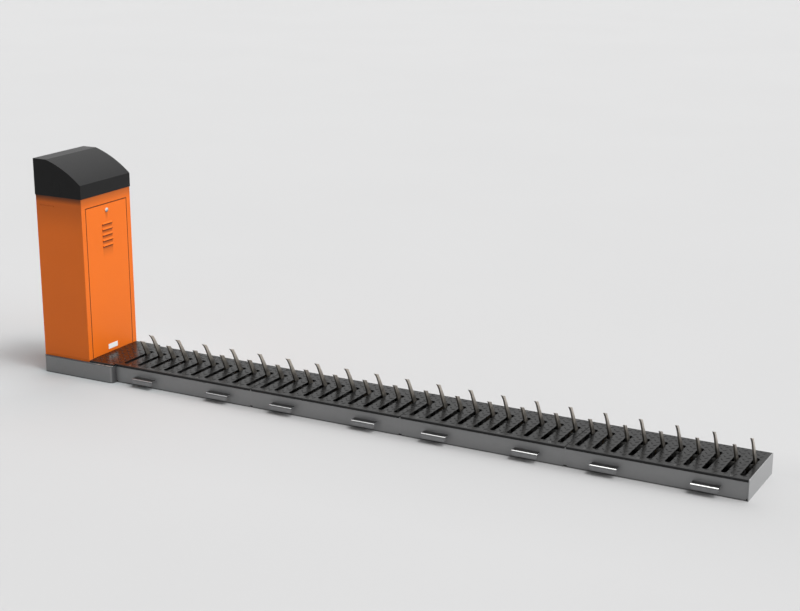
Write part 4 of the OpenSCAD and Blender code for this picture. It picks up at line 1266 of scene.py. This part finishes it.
    def build(self) -> None:
        """Makes the tears of the plate as one piece."""
        form, faces = self.outline()
        clouds = []
        for lean in Lean:
            spots = self.centres(lean)
            turn = -lean.value * self.slant
            c, s = math.cos(turn), math.sin(turn)
            flat = form[:, :2] @ np.array([[c, s], [-s, c]])
            place = flat[None, :, :] + spots[:, None, :]
            high = np.broadcast_to(form[None, :, 2:] + self.top, (*place.shape[:2], 1))
            cloud = np.concatenate([place, high], axis=2).reshape(-1, 3)
            cloud = self.clear_slots(cloud, np.repeat(spots[:, 0], len(form)))
            cloud[:, :2] = np.clip(cloud[:, :2], self.low, self.high)
            clouds.append(cloud)
        points = np.concatenate(clouds)
        cells = repeat_faces(faces, len(points) // len(form), len(form))
        make_piece(self.name, points, cells, CHEQUER_TEAR, Slot.CHEQUER)


@dataclass
class WeldBeads:
    """Fillet welds where the anchor lugs meet the tray walls.

    Attributes:
        name: Name of the piece.
        wall: Y of the tray wall's outer face.
        middles: X of the lugs' middles.
        height: Height of the lug's top face.
        reach: Half the length of a bead.
        radius: Radius of a bead.
        ripple: Length of one puddle.
        swell: Share by which a puddle is thicker or thinner.
    """

    name: str
    wall: float
    middles: np.ndarray
    height: float
    reach: float = 0.068
    radius: float = 0.0032
    ripple: float = 0.0042
    swell: float = 0.1

    rings: ClassVar[int] = 66
    around: ClassVar[int] = 8

    def build(self) -> None:
        """Makes all beads of one side.

        A bead is a tube along X whose radius is the weld's, times 1 plus a tenth of a sine wave
        for each puddle, and times the root of 1 - t to the eighth at t from -1 to 1 along it.
        """
        t = np.linspace(-1, 1, self.rings)
        x = t * self.reach
        puddle = 1 + self.swell * np.sin(2 * np.pi * x / self.ripple)
        r = self.radius * puddle * np.sqrt(np.maximum(1 - t ** 8, 0.01))
        angle = np.linspace(0, 2 * np.pi, self.around, endpoint=False)
        y = self.wall + r[:, None] * np.cos(angle)
        z = self.height + r[:, None] * np.sin(angle)
        bead = np.stack([np.broadcast_to(x[:, None], y.shape), y, z], axis=2).reshape(-1, 3)
        points = np.concatenate([bead + np.array([m, 0, 0]) for m in self.middles])
        faces = tube_faces(self.rings, self.around, flip=True)
        cells = repeat_faces(faces, len(self.middles), len(bead))
        make_piece(self.name, points, cells, WELD, Slot.GALVANISED)


@dataclass
class DoorSeal:
    """Rubber lip in the gap beside and over the door, clear of the sill that it swings across.

    Attributes:
        name: Name of the piece.
        depth: X of the lip's middle.
        half: Half the width of its path.
        low: Height of its lower ends.
        high: Height of its upper run.
        wide: Half the lip's width across the gap.
        thick: Half the lip's thickness.
        corner: Radius of the path's corners.
    """

    name: str
    depth: float
    half: float
    low: float
    high: float
    wide: float
    thick: float = 0.0012
    corner: float = 0.0019

    around: ClassVar[int] = 10
    bends: ClassVar[int] = 7

    def build(self) -> None:
        """Makes the lip: an oval profile carried up one side, over the top and down the other."""
        turns = np.linspace(0, np.pi / 2, self.bends)
        angle = np.concatenate([[0.0], turns, turns + np.pi / 2, [np.pi]])
        out = np.stack([np.cos(angle), np.sin(angle)], axis=1)
        side = np.repeat([1.0, -1.0], len(turns) + 1) * (self.half - self.corner)
        middle = np.stack([side, np.full(len(angle), self.high - self.corner)], axis=1)
        path = middle + self.corner * out
        path[[0, -1], 1] = self.low
        angle = np.linspace(0, 2 * np.pi, self.around, endpoint=False)
        flat = path[:, None, :] + out[:, None, :] * (self.wide * np.cos(angle))[None, :, None]
        x = np.broadcast_to(self.depth + self.thick * np.sin(angle), flat.shape[:2])
        points = np.concatenate([x[:, :, None], flat], axis=2).reshape(-1, 3)
        faces = tube_faces(len(path), self.around)
        make_piece(self.name, points, faces, RUBBER, Slot.BLACK_PLASTIC)


@dataclass
class ClawModules:
    """The four road modules: trays, ribs, covers, shafts, claws and lugs.

    Attributes:
        count: Number of modules.
        length: Length of a module.
        claws: Number of claws in a module.
        half: Half the width of a cover's flat top.
        end_fold: Length of a cover's top that its fold takes up.
        slot_run: Lower and upper end of a slot, in Y.
        screw_y: Distance of the screws from the middle plane.
        screw_x: X of the screws in a module.
        lug_at: Places of the lugs, as shares of the module.
    """

    count: int = 4
    length: float = 1.0
    claws: int = 10
    half: float = 0.2115
    end_fold: float = 0.0006
    slot_run: tuple[float, float] = (-0.1772, 0.102)
    screw_y: float = 0.195
    screw_x: tuple[float, ...] = (0.1, 0.4, 0.6, 0.9)
    lug_at: tuple[float, float] = (0.23, 0.78)

    def dress(self) -> None:
        """Gives the modules' pieces their finishes."""
        rows = {
            "tray": GALVANISED_TRAY, "ribs": GALVANISED_RIB, "cover": CHEQUER,
            "shaft": GREASED_SHAFT, "claws_short": CLAW_STEEL, "claws_tall": CLAW_STEEL}
        for stem, finish in rows.items():
            finish.dress(*[f"{stem}_{n + 1}" for n in range(self.count)])
        GALVANISED_END.dress("end_plate")
        GALVANISED_LUG.dress("lugs_front", "lugs_back")
        BRONZE.dress("shaft_bushings")
        DARK_STEEL.dress("couplings")
        COVER_SCREWS.dress("cover_screws")
        FASTENERS.dress("frame_bolts")

    def treads(self) -> None:
        """Makes the tears of each cover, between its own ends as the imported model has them."""
        for n in range(self.count):
            low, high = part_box(f"cover_{n + 1}")
            start = n * self.length
            ChequerTread(
                f"cover_{n + 1}_tread",
                (low.x + self.end_fold, -self.half),
                (high.x - self.end_fold, self.half),
                high.z,
                np.array([(start + x, side * self.screw_y)
                          for x in self.screw_x for side in (-1, 1)]),
                start + self.length / self.claws * (np.arange(self.claws) + 0.5),
                self.slot_run,
            ).build()

    def welds(self) -> None:
        """Makes the weld beads of the lugs on both sides."""
        middles = self.length * np.array([n + at for n in range(self.count) for at in self.lug_at])
        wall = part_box("tray_1")[1].y
        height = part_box("lugs_front")[1].z
        WeldBeads("lug_welds_front", -wall, middles, height).build()
        WeldBeads("lug_welds_back", wall, middles, height).build()

    def build(self) -> None:
        """Dresses the modules and makes their own pieces."""
        self.dress()
        self.treads()
        self.welds()


@dataclass
class DriveBase:
    """The low box that the cabinet stands on, with its tread plate and shaft bearings.

    Attributes:
        screw_x: X of the plate's screws.
        screw_y: Distance of the screws from the middle plane.
        fold: Length of the plate's top that a fold takes up.
        rear: Length of the plate's top that its rear edge takes up.
    """

    screw_x: tuple[float, float] = (-0.172, -0.022)
    screw_y: float = 0.222
    fold: float = 0.0055
    rear: float = 0.001

    def build(self) -> None:
        """Dresses the base and makes the tears of its tread plate."""
        GALVANISED_FOOT.dress("base_floor")
        GALVANISED.dress("base_bearings")
        GALVANISED_BASE.dress("base_walls")
        GALVANISED_LEDGE.dress("base_top")
        CHEQUER_BASE.dress("base_cover")
        BRIGHT_STEEL.dress("drive_shaft")
        low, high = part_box("base_cover")
        ChequerTread(
            "base_cover_tread",
            (low.x + self.rear, low.y + self.fold),
            (high.x - self.fold, high.y - self.fold),
            high.z,
            np.array([(x, side * self.screw_y) for x in self.screw_x for side in (-1, 1)]),
        ).build()


@dataclass
class DriveUnit:
    """Gear motor and the parallel crank, rod and lever that turn the claw shaft.

    Attributes:
        linkage: Nodes of the linkage.
        housings: Nodes of the closed housings.
    """

    linkage: tuple[str, ...] = ("lever", "rod", "crank")
    housings: tuple[str, ...] = ("gearbox", "motor")

    def build(self) -> None:
        """Dresses the drive."""
        DARK_STEEL.dress(*self.linkage)
        BRIGHT_STEEL.dress("output_shaft")
        BRACKET_PAINT.dress("drive_bracket")
        MACHINE_PAINT.dress(*self.housings)
        BLACK_PLASTIC.dress("motor_fan_cowl")


@dataclass
class Cabinet:
    """Folded steel cabinet with its lift-off door, lock, label and control box.

    Attributes:
        door_half: Half the width of the door's skin.
        gap: Width of the gap beside and over the door.
        seal_back: How far the seal's middle stands behind the front face.
        seal_air: Air between the seal and the door's edge.
        seal_foot: How far the seal ends above the door's foot.
    """

    door_half: float = 0.198
    gap: float = 0.0036
    seal_back: float = 0.0019
    seal_air: float = 0.0001
    seal_foot: float = 0.0005

    def dress(self) -> None:
        """Gives the cabinet's pieces their finishes."""
        ORANGE.dress("cabinet_back", "cabinet_front")
        ORANGE_SIDE.dress("cabinet_side_near", "cabinet_side_far")
        ORANGE_DOOR.dress("door")
        LABEL.dress("label_plate")
        CHROME.dress("lock_barrel", "lock_plug")
        FASTENERS.dress("lock_cam")
        ENCLOSURE.dress("control_box", "control_lid")
        BLACK_PLASTIC.dress("cable_glands")

    def seal(self) -> None:
        """Makes the door's seal from the door's own box."""
        low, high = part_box("door")
        middle = (self.gap + self.seal_air) / 2
        DoorSeal(
            "door_seal",
            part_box("cabinet_front")[1].x - self.seal_back,
            self.door_half + middle,
            low.z + self.seal_foot,
            high.z + middle,
            (self.gap - self.seal_air) / 2,
        ).build()

    def build(self) -> None:
        """Dresses the cabinet and makes its seal."""
        self.dress()
        self.seal()


@dataclass
class Hood:
    """Moulded hood with its knock-out plug and screws.

    Attributes:
        mouldings: Nodes of the moulded pieces.
        screws: Node of the screws.
    """

    mouldings: tuple[str, ...] = ("hood", "hood_plug")
    screws: str = "hood_screws"

    def build(self) -> None:
        """Dresses the hood."""
        HOOD_BLACK.dress(*self.mouldings)
        FASTENERS.dress(self.screws)


@dataclass
class Lamp:
    """A far, soft lamp.

    Attributes:
        name: Name of the lamp.
        towards: Direction from the object to the lamp.
        level: Light that a face turned to the lamp gets, where 1 shows a colour as written.
        width: Angle that the lamp fills, in degrees.
        mirrored: Whether glossy surfaces show the lamp.
    """

    name: str
    towards: Triple
    level: float
    width: float
    mirrored: bool = True

    def build(self) -> None:
        """Adds the lamp. A sun of strength pi gives a face turned to it the level 1."""
        data = bpy.data.lights.new(self.name, "SUN")
        data.energy = math.pi * self.level
        data.angle = math.radians(self.width)
        lamp = bpy.data.objects.new(self.name, data)
        lamp.rotation_euler = Vector(self.towards).to_track_quat("Z", "Y").to_euler()
        lamp.visible_glossy = self.mirrored
        show(lamp)


@dataclass
class Studio:
    """Pale floor and sky, soft lamps and the camera at the photograph's angle.

    Attributes:
        sky: Level of the light from all round.
        backdrop: Colour of the background.
        soft_box: Strength of the soft box overhead in reflections.
        box_span: Upward part of a ray's direction where the soft box begins and where it is full.
        floor: Colour of the floor.
        uneven: Share by which the floor is lighter in places.
        cabinet_at: Middle of the cabinet on the floor.
        tint: How much each channel of the floor is raised round the cabinet: a painted cool cast
            against the orange light that the cabinet throws on it.
        tint_span: Distance from the cabinet where the painted cast is full and where it ends.
        contact: Share of the painted shade by which the floor is darker at the strip's foot.
        foot: Lower and upper X and Y of the ground that the object covers.
        reach: Distance over which the floor's painted shade fades.
        rear: How many times faster it fades behind and to the left of the object.
        spread: Half the side of the floor.
        lens: Focal length for a sensor 36 mm wide.
        place: Where the camera stands.
        turn: How the camera is turned.
        lamps: The lamps.
    """

    sky: float = 0.17
    backdrop: Colour = tone("e1e1e1")
    soft_box: float = 4.0
    box_span: tuple[float, float] = (0.5, 0.85)
    floor: Colour = (0.61, 0.61, 0.612)
    uneven: float = 0.012
    cabinet_at: Triple = (-0.36, 0.0, 0.0)
    tint: Triple = (0.99, 1.04, 1.055)
    tint_span: tuple[float, float] = (0.3, 1.3)
    contact: float = 0.115
    foot: tuple[Triple, Triple] = ((-0.5, -0.217, 0.0), (4.0, 0.217, 0.0))
    reach: float = 1.1
    rear: float = 3.0
    spread: float = 60.0
    lens: float = 71.346
    place: Triple = (5.9768, -7.5967, 3.1366)
    turn: Triple = (1.294776, -0.000434, 0.494218)
    lamps: tuple[Lamp, ...] = (
        Lamp("key_lamp", (0.74, 0.05, 0.67), 0.79, 70.0),
        Lamp("top_lamp", (0.42, -0.02, 0.91), 0.26, 14.0),
        Lamp("back_lamp", (-0.25, 0.66, 0.70), 0.36, 60.0, mirrored=False),
    )

    def world(self) -> None:
        """Lights from all round, and shows the backdrop's colour to the camera and in reflections.

        In reflections a soft box overhead is brighter: the upward part of the ray's direction
        from the lower to the upper bound of its span goes over to it.
        """
        world = bpy.data.worlds.new("studio_sky")
        world.use_nodes = True
        bpy.context.scene.world = world
        graph = Graph(world.node_tree)
        light = graph.add("ShaderNodeBackground", {"Color": grey(1.0), "Strength": self.sky})
        rays = graph.add("ShaderNodeLightPath").outputs
        upward = graph.times(graph.axes(graph.normal("Incoming"))[2], -1.0)
        box = graph.ramp(upward, *self.box_span, 1.0, self.soft_box)
        seen = graph.add("ShaderNodeBackground", {"Color": self.backdrop, "Strength": box})
        kinds = [rays[f"Is {kind} Ray"] for kind in ("Camera", "Glossy", "Transmission")]
        both = graph.add(
            "ShaderNodeMixShader",
            {0: graph.most(*kinds), 1: light.outputs[0], 2: seen.outputs[0]})
        graph.add("ShaderNodeOutputWorld", {"Surface": both.outputs[0]})

    def shade(self, graph: Graph) -> Socket:
        """Works out the painted shade on the floor round the object.

        It is one less the root of the distance from the object over the reach.

        Args:
            graph: Graph of the floor's material.

        Returns:
            Mask of the painted shade.
        """
        spot = graph.spot()
        low, high = self.foot
        past = graph.axes(graph.vector("SUBTRACT", spot, high))
        short = graph.axes(graph.vector("SUBTRACT", low, spot))
        along = graph.most(past[0], graph.times(short[0], self.rear), 0.0)
        across = graph.most(short[1], graph.times(past[1], self.rear), 0.0)
        square = graph.plus(graph.times(along, along), graph.times(across, across))
        away = graph.over(graph.math("SQRT", square), self.reach)
        return graph.minus(1.0, graph.math("SQRT", away), clamp=True)

    def ground(self) -> None:
        """Lays the floor, with a faint unevenness, a painted cool cast against the cabinet's orange
        light, and painted shade round the object's foot.
        """
        mesh = bpy.data.meshes.new("floor")
        s = self.spread
        mesh.from_pydata([(-s, -s, 0), (s, -s, 0), (s, s, 0), (-s, s, 0)], [], [(0, 1, 2, 3)])
        floor = bpy.data.objects.new("floor", mesh)
        show(floor)
        material = bpy.data.materials.new("studio_floor")
        material.use_nodes = True
        graph = Graph(material.node_tree)
        lighter = tuple(c * (1.0 + self.uneven) for c in self.floor)
        cooler = tuple(c * t for c, t in zip(self.floor, self.tint))
        colour = graph.blend(Grain.use(graph, scale=0.4, detail=2.0), self.floor, lighter)
        # Painted cool cast against the orange light that the cabinet throws on the floor.
        away = graph.vector("DISTANCE", graph.spot(), self.cabinet_at)
        colour = graph.blend(graph.fall(away, *self.tint_span), colour, cooler)
        # Painted shade on the floor round the object's foot.
        colour = graph.blend(graph.times(self.shade(graph), self.contact), colour, grey(0.0))
        shader = graph.add("ShaderNodeBsdfPrincipled", {
            "Base Color": colour, "Roughness": 0.9, "Specular IOR Level": 0.2})
        graph.add("ShaderNodeOutputMaterial", {"Surface": shader.outputs[0]})
        mesh.materials.append(material)
        floor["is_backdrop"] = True

    def camera(self) -> None:
        """Stands the camera where the photograph was taken from."""
        data = bpy.data.cameras.new("camera")
        data.sensor_fit = "HORIZONTAL"
        data.sensor_width = 36.0
        data.lens = self.lens
        data.clip_end = 200.0
        camera = bpy.data.objects.new("camera", data)
        camera.location = self.place
        camera.rotation_euler = Euler(self.turn)
        show(camera)
        bpy.context.scene.camera = camera

    def build(self) -> None:
        """Builds the studio."""
        bpy.context.scene.view_settings.view_transform = "Standard"
        self.world()
        self.ground()
        self.camera()
        for lamp in self.lamps:
            lamp.build()


def write_sizes() -> None:
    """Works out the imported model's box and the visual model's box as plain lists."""
    boxes = {"cad": CAD_BOX, "visual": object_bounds()}
    plain = {name: [[float(v) for v in corner] for corner in box] for name, box in boxes.items()}


def main() -> None:
    """Builds the studio and every sub-assembly in order."""
    logging.basicConfig(level=logging.INFO, format="%(message)s")
    for part in (Studio(), ClawModules(), DriveBase(), DriveUnit(), Cabinet(), Hood()):
        part.build()
        log.info("%s done", type(part).__name__)
    write_sizes()


if __name__ == "__main__":
    main()
